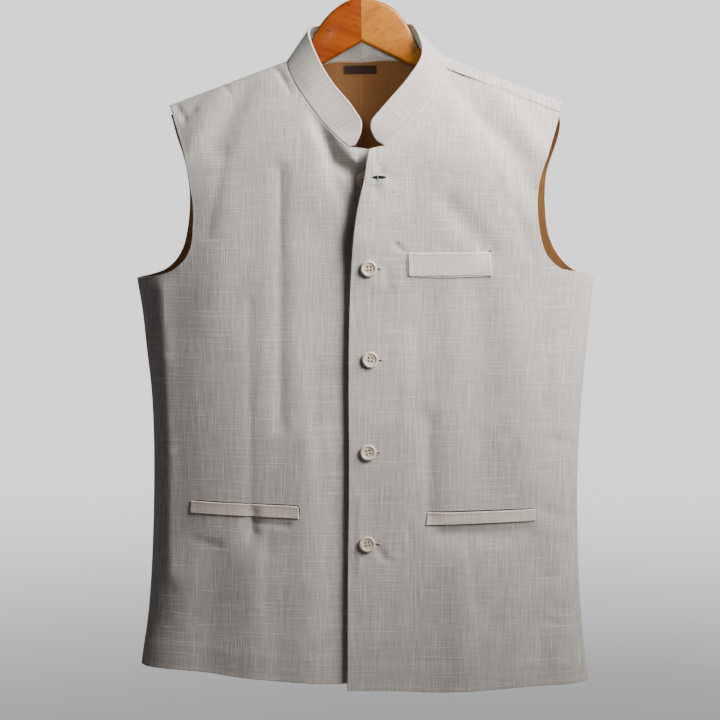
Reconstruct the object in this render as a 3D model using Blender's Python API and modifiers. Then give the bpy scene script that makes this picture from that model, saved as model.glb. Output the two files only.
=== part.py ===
"""Sleeveless band-collar waistcoat hanging flat on a wooden hanger.

Lengths below are in millimetres and turned into metres when a mesh is made.
Origin: where the rail touches the inner top of the hook. +X is the wearer's left,
-Y the front of the garment, +Z up.
"""
import math

import bpy
import numpy as np
from mathutils import Matrix, Vector
from mathutils.bvhtree import BVHTree

MM = 0.001
SEAM = 0.3
CLOTH = 1.6
LINING = 1.0
LINING_GAP = 1.2
BAND = 2.2
WELT = 1.2
LABEL = 0.6

CENTRE_X = 4.5
ROUND = 2.5
ROLL_FRONT = 120.0
ROLL_BACK = 80.0

# Body of the hanging garment: height, left and right side, side seam depth, front and back depth.
SECTIONS = (
    (-840, -254.0, 258.9, 1.0, 60, 39),
    (-822, -251.6, 256.6, 1.0, 60, 39),
    (-789, -247.1, 253.0, 1.5, 61, 40),
    (-755, -243.0, 250.2, 2.0, 61, 40),
    (-718, -240.2, 247.8, 3.0, 62, 41),
    (-666, -237.6, 246.1, 4.0, 62, 41),
    (-610, -236.1, 245.3, 4.0, 63, 42),
    (-544, -236.2, 247.2, 4.0, 64, 44),
    (-504, -238.1, 250.0, 4.0, 64, 45),
    (-462, -242.5, 253.5, 4.0, 64, 46),
    (-413, -247.6, 258.0, 4.0, 63, 46),
    (-380, -252.6, 260.9, 3.0, 63, 46),
    (-300, -255.0, 263.0, 2.0, 63, 45),
    (-100, -257.0, 265.0, 2.0, 62, 44),
)

# Shoulder lines: x and z of each neck point, slope of the line.
SHOULDER_LEFT = (-83.5, -138.3, 0.378)
SHOULDER_RIGHT = (89.7, -131.8, -0.3866)
NECK_ROUND = 8.0

VENT_TOP_LEFT = -755.0
VENT_TOP_RIGHT = -769.0
VENT_LENGTH = 70.0
VENT_OPEN = 6.0

# Rows of a panel: hem to underarm, underarm to front corner, corner to shoulder.
LOW_ROWS = 12
MID_ROWS = 11
TOP_STEPS = (0, 0.14, 0.28, 0.42, 0.55, 0.67, 0.77, 0.85, 0.91, 0.96, 1.0)
BACK_TOP_STEPS = (0, 0.14, 0.28, 0.42, 0.55, 0.67, 0.76, 0.83, 0.88, 0.92, 0.96, 1.0)
MID_SHARE = 0.6
UNDERARM_INNER_Z = -372.0
BLEND_ROWS = 4.0
FRONT_START = -200.0
FRONT_COLUMNS = (0, 0.05, 0.11, 0.18, 0.26, 0.34, 0.42, 0.50, 0.58, 0.66, 0.735, 0.80, 0.86, 0.915,
                 0.953, 0.98, 0.9965, 1.0)

# Front edges: x, z from the hem up.
OVER_EDGE = ((-16.2, -839.3), (-15.5, -694.5), (-14.6, -622.5), (-13.7, -411.1), (-12.5, -378.7),
             (-9.6, -335.0), (-6.9, -313.2), (-3.9, -295.3), (2.2, -269.4), (5.3, -249.7), (7.5, -236.4))
UNDER_EDGE = ((29.0, -834.0), (30.0, -378.0), (28.0, -330.0), (23.0, -290.0), (16.0, -262.0),
              (9.0, -237.2))
# Necklines: x, z from the front corner, first the end of the collar, to the shoulder seam.
OVER_NECK = ((7.5, -236.4), (23.7, -233.2), (41.8, -217.8), (59.4, -200.3), (72.8, -184.9),
             (83.0, -166.1), (91.5, -148.5), (93.3, -144.6))
UNDER_NECK = ((9.0, -237.2), (-11.0, -235.2), (-28.3, -222.3), (-45.4, -203.9), (-60.9, -183.8),
              (-73.5, -165.2), (-81.5, -148.1), (-83.5, -138.3))
# Front armholes: x, z from the underarm to the shoulder seam.
OVER_ARM = ((260.9, -380.0), (250.0, -375.0), (238.9, -371.4), (219.0, -366.6), (210.6, -360.0),
            (202.3, -348.9), (197.3, -332.8), (194.3, -312.7), (194.1, -292.5), (195.3, -277.2),
            (198.4, -260.2), (204.0, -244.9), (210.0, -227.9), (216.6, -207.8), (219.7, -196.5))
UNDER_ARM = ((-252.6, -380.0), (-242.9, -378.4), (-224.4, -374.9), (-211.1, -370.5), (-202.9, -364.8),
             (-193.9, -355.1), (-188.9, -343.6), (-186.2, -323.5), (-186.0, -298.7), (-189.1, -277.2),
             (-194.8, -244.9), (-200.8, -226.4), (-208.4, -204.6), (-215.2, -188.1))
# Back armholes; on the right the panel passes the shoulder line by WRAP and ends on the front.
SHOULDER_TIP_LEFT = -215.2
SHOULDER_TIP_RIGHT = 219.9
BACK_ARM_LEFT = ((-252.6, -380.0), (-237.0, -377.0), (-221.9, -371.0), (-211.2, -361.1),
                 (-203.3, -346.9), (-199.3, -331.0), (-196.4, -310.3), (-195.9, -278.5),
                 (-198.5, -250.0), (-203.0, -226.0), (-209.0, -205.0), (-215.2, -188.1))
BACK_ARM_RIGHT = ((260.9, -380.0), (245.0, -374.3), (231.6, -364.5), (219.2, -347.3), (212.9, -331.0),
                  (210.4, -316.7), (209.0, -294.4), (208.7, -278.5), (209.2, -254.6), (210.6, -237.3),
                  (215.0, -217.0), (221.5, -195.0), (224.2, -183.8))
WRAP = 0.33
SEAM_M = 0.0045
# Length on the cloth of one unit of m, about.
ROOT_LENGTH = 150.0
EDGE_SAMPLES = 400
# Back neckline: x and m (see body) from the left neck point to the right one.
BACK_NECK = ((-83.5, 0.0), (-81.5, 0.12), (-78.0, 0.22), (-72.0, 0.30), (-60.0, 0.37), (-34.0, 0.43),
             (4.0, 0.56), (42.0, 0.48), (64.0, 0.38), (76.0, 0.31), (85.0, 0.18), (89.3, 0.02),
             (93.3, -0.33))
BACK_COLUMNS = (0, 0.0035, 0.02, 0.047, 0.085, 0.135, 0.185, 0.24, 0.295, 0.35, 0.40, 0.45, 0.50,
                0.55, 0.60, 0.65, 0.705, 0.76, 0.815, 0.865, 0.915, 0.953, 0.98, 0.9965, 1.0)
NECK_SHARES = (0, 0.06, 0.15, 0.30, 0.48, 0.66, 0.79, 0.87, 0.92, 0.96, 1.0)
BACK_SHOULDER_COLUMNS = 7
BACK_MID_ROWS = 8
BACK_SHARE = 0.55
LINING_TOP = 0.30
LINING_EASE = 1.6
# The lining's ease grows above m = EASE_START, over EASE_LENGTH, and round the underarms.
EASE_START = 1.25
EASE_LENGTH = 0.6
UNDERARM_EASE = 22.0
LINING_ROWS = (1, 2, 3, 5, 7, 9, 11)

HEM_OVER = ((-16.2, -839.3), (42.8, -840.2), (78.8, -842.0), (123.1, -841.2), (184.4, -838.5),
            (258.3, -838.7))
HEM_UNDER = ((29.0, -834.0), (-18.4, -833.0), (-80.8, -830.3), (-131.1, -826.5), (-192.3, -821.0),
             (-251.2, -820.5))
HEM_BACK = ((-251.2, -820.5), (-120.0, -824.0), (4.0, -827.0), (130.0, -832.0), (258.3, -838.7))

# Folds: start x, z, end x, z, half width, height (below nought for a trough). They fade out where m
# is under FOLD_FADE, at the shoulders.
FOLD_FADE = 0.55
FOLDS_OVER = (
    (-16, -845, -12, -380, 46, 1.7),
    (7, -243, -6, -330, 36, 6.2),
    (110, -159, 197, -292, 15, -3.4),
    (150, -170, 214, -262, 12, 2.6),
    (95, -296, 141, -348, 13, -2.4),
    (75, -534, 75, -642, 13, -2.2),
    (128, -395, 136, -600, 20, -2.0),
    (170, -420, 186, -600, 24, 2.2),
    (90, -665, 190, -668, 11, -2.0),
    (214, -560, 232, -566, 8, -1.8),
    (208, -640, 236, -652, 8, -1.6),
    (110, -700, 120, -838, 24, 2.4),
    (200, -700, 206, -838, 22, -2.6),
    (74, -396, 78, -500, 18, -1.6),
)
FOLDS_UNDER = (
    (2, -840, 2, -345, 34, -7.0),
    (2, -330, 6, -268, 22, -8.0),
    (-50, -204, -20, -254, 9, -4.0),
    (-26, -226, -8, -247, 8, 3.2),
    (-89, -259, -90, -540, 9, -1.8),
    (-123, -402, -124, -664, 9, -1.6),
    (-160, -170, -195, -250, 14, 2.4),
    (-130, -166, -160, -235, 13, -2.4),
    (-222, -390, -216, -712, 12, 2.6),
    (-150, -300, -165, -420, 26, 2.2),
    (-60, -560, -64, -820, 26, 2.2),
    (-121, -640, -121, -664, 7, -2.2),
    (-170, -690, -176, -818, 22, -2.4),
    (-118, -700, -118, -824, 20, 2.0),
    (-50, -330, -46, -480, 22, -1.6),
)
FOLDS_BACK = (
    (-130, -250, -110, -760, 30, 2.6),
    (128, -260, 122, -780, 32, 2.6),
    (-60, -190, -140, -330, 18, -2.2),
    (70, -190, 150, -330, 18, -2.4),
    (2, -300, 6, -800, 38, -3.0),
    (-190, -470, -186, -800, 22, -2.2),
    (196, -450, 192, -800, 22, -2.0),
)

# Top edge of the collar: place round the neck, x, y, z of the middle of the band. Places 0 to 1 run
# up the under front, 1 to 2 across the back and 2 to 3 down the over front.
COLLAR_TOP = (
    (0.00, -7.0, -61, -232.0),
    (0.06, -1.8, -60, -221.5),
    (0.14, 0.3, -59, -209.0),
    (0.26, -7.5, -54, -193.5),
    (0.50, -31.0, -43, -164.5),
    (0.75, -48.0, -30, -136.0),
    (1.00, -58.2, -3, -105.0),
    (1.20, -45.0, 18, -98.5),
    (1.50, 2.0, 30, -95.0),
    (1.80, 50.0, 17, -96.5),
    (2.00, 58.5, -4, -103.0),
    (2.25, 66.0, -22, -131.0),
    (2.50, 49.0, -40, -160.0),
    (2.74, 20.0, -54, -193.5),
    (2.86, 9.6, -59, -207.5),
    (2.94, 11.0, -61, -219.0),
    (3.00, 16.0, -62, -228.0),
)
# From any point of the neckline the collar rises towards this point: x, y and the rise.
NECK_AXIS = (4.5, -15.0, 45.0)
COLLAR_SEAM = 0.5
COLLAR_ROWS = (0.0, 0.14, 0.36, 0.68, 1.0)

# Welts: the four corners x, z (lower left, lower right, upper right, upper left).
CHEST_WELT = ((51.8, -374.8), (142.4, -374.3), (141.1, -349.0), (50.7, -349.6))
LOWER_WELT_UNDER = ((-191.6, -640.9), (-69.7, -644.4), (-69.7, -630.3), (-190.4, -627.3))
LOWER_WELT_OVER = ((71.4, -652.3), (193.8, -649.6), (193.1, -636.6), (73.6, -638.2))
NECK_LABEL = ((-20.6, -149.3), (17.3, -149.3), (17.3, -139.4), (-20.6, -139.4))

# Gaps between a welt or the label and its cloth, which lies a little uneven under them.
CHEST_LIFT = 0.45
LEFT_LIFT = 0.4
RIGHT_LIFT = 0.65
LABEL_LIFT = 0.85
LABEL_START = -20.0

# Buttons from the top: x, z.
BUTTONS = ((3.3, -271.1), (7.4, -366.1), (9.1, -466.6), (6.9, -569.7), (5.8, -672.7))
# Half section of a button: radius, height, from the back's centre outwards to the dished front.
BUTTON_PROFILE = ((0.0, 0.0), (7.4, 0.0), (8.8, 0.9), (9.0, 2.0), (8.2, 3.1), (6.9, 3.2), (5.9, 2.2),
                  (0.0, 1.9))
BUTTON_STEPS = 20
# Half side of the square on the cloth that a button's back lies on, and the lift off it.
BUTTON_FOOT = 7.0
BUTTON_LIFT = 0.4
EYE_RADIUS = 0.95
EYE_SPREAD = 2.3
EYE_SIDES = 6
EYE_ENDS = (-1.0, 5.0)

# Hanger arms: distance from the middle, top z, bottom z, half thickness.
ARM_LEFT = ((0.15, -70.2, -118.1, 6.5), (12, -71.5, -124.5, 6.5), (25.6, -78.5, -132.5, 6.5),
            (36, -87.0, -138.5, 6.4), (44.3, -96.8, -143.2, 6.3), (55.2, -115.4, -149.0, 6.0),
            (64, -128.5, -153.6, 5.7), (74, -138.5, -159.0, 5.5), (86, -143.2, -164.0, 5.5))
ARM_RIGHT = ((0.15, -70.2, -118.1, 6.5), (12, -71.0, -123.5, 6.5), (24, -75.0, -129.2, 6.5),
             (35.5, -81.5, -134.6, 6.4), (48.9, -96.8, -140.8, 6.3), (58.3, -113.8, -145.0, 6.0),
             (65.5, -125.8, -148.0, 5.7), (74, -132.2, -151.0, 5.5), (85, -135.6, -155.0, 5.5))
ARM_FAR = (98, 118, 142, 168, 188, 198, 202)
ARM_DEPTH = 21.0
# Share of the depth above the widest line, half thickness and its share at the tip, corner and flat.
ARM_MIDDLE = 0.45
ARM_THICK = 5.5
ARM_TIP_THICK = 0.55
ARM_CORNER = 4.5
ARM_FLAT = 0.8
ARM_TIP = (1.0, 1.0, 1.0, 1.0, 0.96, 0.74, 0.40)
ARM_Y = 1.0
ARM_REST = 2.8
ARM_SIDES = 12

HOOK_WIRE = 1.8
HOOK_INNER = 19.5
HOOK_STEM = (-69.9, -52.0)
HOOK_SIDES = 10

COLOURS = {
    "linen": (0.58, 0.57, 0.56, 1.0),
    "welt_linen": (0.69, 0.62, 0.57, 1.0),
    "lining_satin": (0.30, 0.17, 0.07, 1.0),
    "label_cloth": (0.03, 0.02, 0.015, 1.0),
    "button_resin": (0.72, 0.62, 0.50, 1.0),
    "hanger_wood": (0.55, 0.26, 0.08, 1.0),
    "hook_metal": (0.62, 0.62, 0.63, 1.0),
}


def smooth(at, table, column):
    """Cubic through one column of a table whose first column rises; level beyond its ends."""
    rows = np.asarray(table, float)
    xs, ys = rows[:, 0], rows[:, column]
    slope = np.gradient(ys, xs)
    at = np.asarray(at, float)
    i = np.clip(np.searchsorted(xs, at) - 1, 0, len(xs) - 2)
    span = xs[i + 1] - xs[i]
    t = np.clip((at - xs[i]) / span, 0, 1)
    start = ys[i] * (1 + 2 * t) * (1 - t) ** 2 + slope[i] * span * t * (1 - t) ** 2
    end = ys[i + 1] * t * t * (3 - 2 * t) + slope[i + 1] * span * t * t * (t - 1)
    return start + end


def step(t):
    """Smooth rise from nought to one."""
    t = np.clip(t, 0, 1)
    return t * t * (3 - 2 * t)


def ridge(x):
    """Height of the shoulder line, rounded where the two slopes meet inside the neck."""
    left = SHOULDER_LEFT[1] + (x - SHOULDER_LEFT[0]) * SHOULDER_LEFT[2]
    right = SHOULDER_RIGHT[1] + (x - SHOULDER_RIGHT[0]) * SHOULDER_RIGHT[2]
    return (left + right) / 2 - np.sqrt(((left - right) / 2) ** 2 + NECK_ROUND ** 2)


def section(x, z, face):
    """Half width, side seam y and depth of the body at a height, on the face -1 or +1."""
    half = np.where(x < CENTRE_X, CENTRE_X - smooth(z, SECTIONS, 1), smooth(z, SECTIONS, 2) - CENTRE_X)
    vent_top = np.where(x < CENTRE_X, VENT_TOP_LEFT, VENT_TOP_RIGHT)
    vent = VENT_OPEN * step((vent_top - z) / VENT_LENGTH)
    side = smooth(z, SECTIONS, 3) + face * (SEAM / 2 + vent)
    depth = np.where(face < 0, smooth(z, SECTIONS, 4), smooth(z, SECTIONS, 5)) - vent
    return half, side, depth


def body(x, m):
    """Points and outward normals at x and m, where m is the root of the drop below the shoulder line
    over the roll: above nought on the face asked for, below nought past the shoulder line.
    The cross section is a superellipse; the shoulder rolls over with a cubic in m squared.
    """
    x, m, face = np.broadcast_arrays(np.asarray(x, float), np.asarray(m[0], float),
                                     np.asarray(m[1], float))
    face = np.where(m < 0, -face, face)
    roll = np.where(face < 0, ROLL_FRONT, ROLL_BACK)
    drop = m * m * roll
    z = ridge(x) - drop
    ridge_slope = ridge(x + 0.5) - ridge(x - 0.5)
    half, side, depth = section(x, z, face)
    above = section(x, z + 0.5, face)
    below = section(x, z - 0.5, face)
    half_slope, side_slope, depth_slope = above[0] - below[0], above[1] - below[1], above[2] - below[2]
    across = np.clip(np.abs(x - CENTRE_X) / half, 0, 1)
    left_over = 1 - across ** ROUND
    e = left_over ** (1 / ROUND)
    t = np.clip(drop / roll, 0, 1)
    r = np.sqrt(t + t * t - t ** 3)
    roll_slope = (1 + 2 * t - 3 * t * t) / 2 / roll
    y = side + face * depth * e * r
    k = e ** (ROUND - 1) * r
    sign = np.sign(x - CENTRE_X)
    nx = depth * (sign * across ** (ROUND - 1) / half * r * r - left_over * roll_slope * ridge_slope)
    ny = face * k
    nz = (-face * side_slope * k - depth_slope * e * r * k
          - depth * across ** ROUND * half_slope / half * r * r + depth * left_over * roll_slope)
    normal = np.stack([nx, ny, nz], -1)
    normal /= np.linalg.norm(normal, axis=-1, keepdims=True)
    return np.stack([x, y, z], -1), normal


def root_drop(x, z, face):
    """m for a point given by x and z."""
    roll = ROLL_FRONT if face < 0 else ROLL_BACK
    return np.sqrt(np.maximum(ridge(np.asarray(x, float)) - z, 0) / roll)


def fold_height(x, z, m, face, table):
    """Sum of the soft folds, each a bell across its line, fading at seams."""
    total = np.zeros_like(x)
    for x0, z0, x1, z1, width, height in table:
        dx, dz = x1 - x0, z1 - z0
        t = np.clip(((x - x0) * dx + (z - z0) * dz) / (dx * dx + dz * dz), 0, 1)
        away = (x - x0 - t * dx) ** 2 + (z - z0 - t * dz) ** 2
        total += height * np.exp(-away / width ** 2)
    half = section(x, z, np.full_like(x, face))[0]
    across = np.clip(np.abs(x - CENTRE_X) / half, 0, 1)
    return total * (1 - across ** 10) * step(np.maximum(m, 0) / FOLD_FADE)


def spaced(points, face, shares):
    """Points along an edge at shares of its length, in x and m, measured on the body."""
    rows = np.asarray(points, float)
    x, m = rows[:, 0], rows[:, 1]
    count = np.concatenate([[0], np.cumsum(np.hypot(np.diff(x), ROOT_LENGTH * np.diff(m)))])
    table = np.stack([count, x, m], 1)
    fine = np.linspace(0, count[-1], EDGE_SAMPLES)
    fx, fm = smooth(fine, table, 1), smooth(fine, table, 2)
    place = body(fx, (fm, face))[0]
    length = np.concatenate([[0], np.cumsum(np.linalg.norm(np.diff(place, axis=0), axis=1))])
    at = np.interp(np.asarray(shares) * length[-1], length, fine)
    return np.stack([smooth(at, table, 1), smooth(at, table, 2)], 1)


def edge_from_z(table, face):
    """An edge table of x, z as x, m."""
    rows = np.asarray(table, float)
    return np.stack([rows[:, 0], root_drop(rows[:, 0], rows[:, 1], face)], 1)


def rows_of(inner, outer, columns, hem, face, top=None):
    """Grid of x, m between two edges: narrow columns at the side seams below the arms, even ones above.
    Rows are level below and follow the shoulder line above; the lowest take the hem's shape and the
    highest the top edge's.
    """
    count = len(inner)
    row = np.arange(count)[:, None]
    low = np.asarray(columns, float)[None, :]
    even = np.linspace(0, 1, len(columns))[None, :]
    if top is not None:
        even = top[2][None, :]
    blend = step((row - LOW_ROWS) / BLEND_ROWS)
    u = low * (1 - blend) + even * blend
    x = inner[:, :1] + (outer[:, :1] - inner[:, :1]) * u
    rolled = inner[:, 1:] + (outer[:, 1:] - inner[:, 1:]) * u
    roll = ROLL_FRONT if face < 0 else ROLL_BACK
    inner_z = ridge(inner[:, 0]) - roll * inner[:, 1] ** 2
    outer_z = ridge(outer[:, 0]) - roll * outer[:, 1] ** 2
    level = root_drop(x, inner_z[:, None] + (outer_z - inner_z)[:, None] * u, face)
    high = step((row - LOW_ROWS) / (count - 1 - LOW_ROWS))
    m = level * (1 - high) + rolled * high
    ordered = np.asarray(sorted(hem), float)
    hem_z = smooth(x[0], ordered, 1)
    change = root_drop(x[0], hem_z, face) - m[0]
    m = m + change[None, :] * np.clip(1 - row / LOW_ROWS, 0, 1) ** 2
    if top is not None:
        pull = np.clip((row - LOW_ROWS) / (count - 1 - LOW_ROWS), 0, 1) ** 2
        x = x + (top[0] - x[-1])[None, :] * pull
        m = m + (top[1] - m[-1])[None, :] * pull
    return x, m


def front_grid(edge, neck, arm, hem, side_column, seam_m, folds):
    """Surface of one front: points and normals, from the hem up and from the centre edge outwards.
    It ends at the shoulder seam, at seam_m.
    """
    shares = np.concatenate([np.linspace(0, MID_SHARE, MID_ROWS + 1)[:-1],
                             MID_SHARE + (1 - MID_SHARE) * np.asarray(TOP_STEPS)])
    low_z = np.linspace(hem[0][1], UNDERARM_INNER_Z, LOW_ROWS + 1)[:-1]
    mid_z = np.linspace(UNDERARM_INNER_Z, edge[-1][1], MID_ROWS + 1)
    inner_z = np.concatenate([low_z, mid_z])
    by_height = [(z, x) for x, z in edge]
    inner_x = smooth(inner_z, by_height, 1)
    centre = np.stack([inner_x, root_drop(inner_x, inner_z, -1)], 1)
    neck_rows = edge_from_z(neck, -1)
    neck_rows[-1, 1] = seam_m
    arm_rows = edge_from_z(arm, -1)
    arm_rows[-1, 1] = seam_m
    first = np.linalg.norm(np.subtract(neck[1], neck[0]))
    whole = np.sum(np.linalg.norm(np.diff(np.asarray(neck, float), axis=0), axis=1))
    collar_start = first / whole
    neck_shares = np.concatenate([[collar_start], collar_start + (1 - collar_start)
                                  * np.asarray(TOP_STEPS[1:])])
    inner = np.concatenate([centre, spaced(neck_rows, -1, neck_shares)])
    side_z = np.linspace(hem[-1][1], arm[0][1], LOW_ROWS + 1)[:-1]
    side_x = smooth(side_z, SECTIONS, side_column)
    side = np.stack([side_x, root_drop(side_x, side_z, -1)], 1)
    arm_shares = np.concatenate([shares[:MID_ROWS + 1], [(shares[MID_ROWS] + shares[MID_ROWS + 1]) / 2],
                                 shares[MID_ROWS + 1:]])
    outer = np.concatenate([side, spaced(arm_rows, -1, arm_shares)])
    x, m = rows_of(inner, outer, FRONT_COLUMNS, hem, -1)
    point, normal = body(x, (m, -1.0))
    lift = fold_height(x, point[..., 2], m, -1.0, folds)
    return point + normal * lift[..., None], normal


def back_edges():
    """Left and right edges of the back in x, m: side seams to the underarms, then the armholes."""
    edges = []
    for table, column, past, hem_z in ((BACK_ARM_LEFT, 1, None, HEM_BACK[0][1]),
                                       (BACK_ARM_RIGHT, 2, (SHOULDER_TIP_RIGHT, -WRAP),
                                        HEM_BACK[-1][1])):
        arm = edge_from_z(table, 1)
        arm[-1, 1] = 0.0
        if past:
            arm = np.concatenate([arm, [past]])
        z = np.linspace(hem_z, table[0][1], LOW_ROWS + 1)[:-1]
        x = smooth(z, SECTIONS, column)
        side = np.stack([x, root_drop(x, z, 1)], 1)
        shares = np.concatenate([np.linspace(0, BACK_SHARE, BACK_MID_ROWS + 1)[:-1],
                                 BACK_SHARE + (1 - BACK_SHARE) * np.array(BACK_TOP_STEPS)])
        edges.append(np.concatenate([side, spaced(arm, 1, shares)]))
    return edges


def back_top():
    """Top edge of the back in x, m: left shoulder, neckline, right shoulder past the shoulder line."""
    left_end, right_end = np.array([SHOULDER_TIP_LEFT, 0.0]), np.array([SHOULDER_TIP_RIGHT, -WRAP])
    neck = spaced(BACK_NECK, 1, NECK_SHARES)
    n = BACK_SHOULDER_COLUMNS
    share = np.linspace(0, 1, n + 1)[:-1, None]
    left = left_end + (neck[0] - left_end) * share
    right = right_end + (neck[-1] - right_end) * share
    return np.concatenate([left, neck, right[::-1]])


def back_flat():
    """The back in x, m, from the hem up and from the wearer's right to the left."""
    left, right = back_edges()
    top = back_top()
    even = (top[:, 0] - top[0, 0]) / (top[-1, 0] - top[0, 0])
    return rows_of(left, right, BACK_COLUMNS, HEM_BACK, 1, (top[:, 0], top[:, 1], even))


def back_surface(x, m):
    """Points and normals of the back with its folds."""
    point, normal = body(x, (m, 1.0))
    lift = fold_height(x, point[..., 2], m, 1.0, FOLDS_BACK)
    return point + normal * lift[..., None], normal


def lining_grids(x, m):
    """Outer and inner face of the lining: the back's own points, moved in, ending short of the shoulder."""
    base = LOW_ROWS + 6
    top = np.maximum(m[-1] + 0.012, LINING_TOP)
    squeeze = (m[base] - top) / (m[base] - m[-1])
    upper = top + (m[base:] - m[-1]) * squeeze
    keep = list(LINING_ROWS) + list(range(LOW_ROWS, base))
    end = list(range(base, len(m) - 3)) + [len(m) - 1]
    x = np.concatenate([x[keep], x[end]])
    m = np.concatenate([m[keep], upper[[row - base for row in end]]])
    point, normal = back_surface(x, m)
    under_arm = np.exp(-((point[..., 2] - UNDER_ARM[0][1]) / UNDERARM_EASE) ** 2)
    gap = CLOTH + LINING_GAP + LINING_EASE * step((EASE_START - m) / EASE_LENGTH) + under_arm
    outer = point - normal * gap[..., None]
    return outer, outer - normal * LINING


def material(slot):
    found = bpy.data.materials.get(slot)
    if found:
        return found
    made = bpy.data.materials.new(slot)
    made.use_nodes = True
    shader = made.node_tree.nodes["Principled BSDF"]
    shader.inputs["Base Color"].default_value = COLOURS[slot]
    shader.inputs["Roughness"].default_value = 0.8
    made.diffuse_color = COLOURS[slot]
    return made


def add_mesh(name, slot, points, triangles):
    """Closed mesh from points in millimetres, turned to face outwards."""
    points = np.asarray(points, float) * MM
    triangles = np.asarray(triangles)
    a, b, c = points[triangles[:, 0]], points[triangles[:, 1]], points[triangles[:, 2]]
    if np.sum(a * np.cross(b, c)) < 0:
        triangles = triangles[:, ::-1]
    mesh = bpy.data.meshes.new(name)
    mesh.from_pydata(points.tolist(), [], triangles.tolist())
    mesh.materials.append(material(slot))
    mesh.update()
    made = bpy.data.objects.new(name, mesh)
    PARTS.objects.link(made)
    return made


def shell(name, slot, outer, inner):
    """Closed wall between two grids of points."""
    rows, columns = outer.shape[:2]
    count = rows * columns
    index = np.arange(count).reshape(rows, columns)
    a, b = index[:-1, :-1].ravel(), index[:-1, 1:].ravel()
    c, d = index[1:, 1:].ravel(), index[1:, :-1].ravel()
    face = np.concatenate([np.stack([a, b, c], 1), np.stack([a, c, d], 1)])
    ring = np.concatenate([index[0, :], index[1:, -1], index[-1, -2::-1], index[-2:0:-1, 0]])
    p, q = ring, np.roll(ring, -1)
    rim = np.concatenate([np.stack([q, p, p + count], 1), np.stack([q, p + count, q + count], 1)])
    triangles = np.concatenate([face, face[:, ::-1] + count, rim])
    points = np.concatenate([outer.reshape(-1, 3), inner.reshape(-1, 3)])
    return add_mesh(name, slot, points, triangles)


def loft(name, slot, rings):
    """Closed body through rings of points, the ends closed by fans."""
    count, sides = rings.shape[:2]
    index = np.arange(count * sides).reshape(count, sides)
    a, b = index[:-1].ravel(), np.roll(index[:-1], -1, 1).ravel()
    c, d = np.roll(index[1:], -1, 1).ravel(), index[1:].ravel()
    wall = np.concatenate([np.stack([a, b, c], 1), np.stack([a, c, d], 1)])
    fan = np.arange(1, sides - 1)
    start = np.stack([np.zeros_like(fan), fan + 1, fan], 1)
    end = np.stack([np.zeros_like(fan), fan, fan + 1], 1) + (count - 1) * sides
    return add_mesh(name, slot, rings.reshape(-1, 3), np.concatenate([wall, start, end]))


def tree_of(made):
    mesh = made.data
    points = [vertex.co.copy() for vertex in mesh.vertices]
    return BVHTree.FromPolygons(points, [tuple(face.vertices) for face in mesh.polygons])


def cast(tree, x, z, start_y):
    """Where a line along +Y from start_y meets a mesh, in millimetres."""
    hit, normal, _, _ = tree.ray_cast(Vector((x * MM, start_y * MM, z * MM)), Vector((0, 1, 0)))
    return np.array(hit) / MM, np.array(normal)


def patch(name, slot, tree, corners, columns, rows, start_y, lift, thick):
    """Piece lying on a panel: the panel's own points between four corners, moved out of its face."""
    low_left, low_right, high_right, high_left = (np.array(corner, float) for corner in corners)
    u = np.linspace(0, 1, columns + 1)[None, :, None]
    v = np.linspace(0, 1, rows + 1)[:, None, None]
    place = (low_left * (1 - u) + low_right * u) * (1 - v) + (high_left * (1 - u) + high_right * u) * v
    grid = np.array([[cast(tree, x, z, start_y)[0] for x, z in row] for row in place])
    along, up = np.gradient(grid, axis=1), np.gradient(grid, axis=0)
    normal = np.cross(along, up)
    normal /= np.linalg.norm(normal, axis=-1, keepdims=True)
    return shell(name, slot, grid + normal * (lift + thick), grid + normal * lift)


def button_mesh():
    """Turned button with four eyes cut through it, its back on z = 0."""
    profile = bpy.data.meshes.new("button_profile")
    profile.from_pydata([(r * MM, 0, z * MM) for r, z in BUTTON_PROFILE],
                        [(i, i + 1) for i in range(len(BUTTON_PROFILE) - 1)], [])
    turned = bpy.data.objects.new("button_form", profile)
    CUTTERS.objects.link(turned)
    screw = turned.modifiers.new("Screw", "SCREW")
    screw.steps = BUTTON_STEPS
    screw.render_steps = BUTTON_STEPS
    screw.use_merge_vertices = True
    screw.merge_threshold = 0.00001
    screw.use_normal_calculate = True
    turns = [math.pi / 4 + i * math.pi / 2 for i in range(4)]
    points, faces = [], []
    for middle in [(math.cos(turn) * EYE_SPREAD, math.sin(turn) * EYE_SPREAD) for turn in turns]:
        first = len(points)
        for z in EYE_ENDS:
            for k in range(EYE_SIDES):
                bend = 2 * math.pi * (k + 0.5) / EYE_SIDES
                points.append(((middle[0] + EYE_RADIUS * math.cos(bend)) * MM,
                               (middle[1] + EYE_RADIUS * math.sin(bend)) * MM, z * MM))
        low = [first + k for k in range(EYE_SIDES)]
        high = [first + EYE_SIDES + k for k in range(EYE_SIDES)]
        faces.append(low[::-1])
        faces.append(high)
        for k in range(EYE_SIDES):
            faces.append([low[k - 1], low[k], high[k], high[k - 1]])
    eyes_mesh = bpy.data.meshes.new("button_eyes")
    eyes_mesh.from_pydata(points, [], faces)
    eyes = bpy.data.objects.new("button_eyes", eyes_mesh)
    CUTTERS.objects.link(eyes)
    cut = turned.modifiers.new("Eyes", "BOOLEAN")
    cut.operation = "DIFFERENCE"
    cut.solver = "EXACT"
    cut.object = eyes
    for hidden in (turned, eyes):
        hidden.hide_render = True
        hidden.display_type = "WIRE"
    bpy.context.view_layer.update()
    graph = bpy.context.evaluated_depsgraph_get()
    return bpy.data.meshes.new_from_object(turned.evaluated_get(graph))


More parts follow.
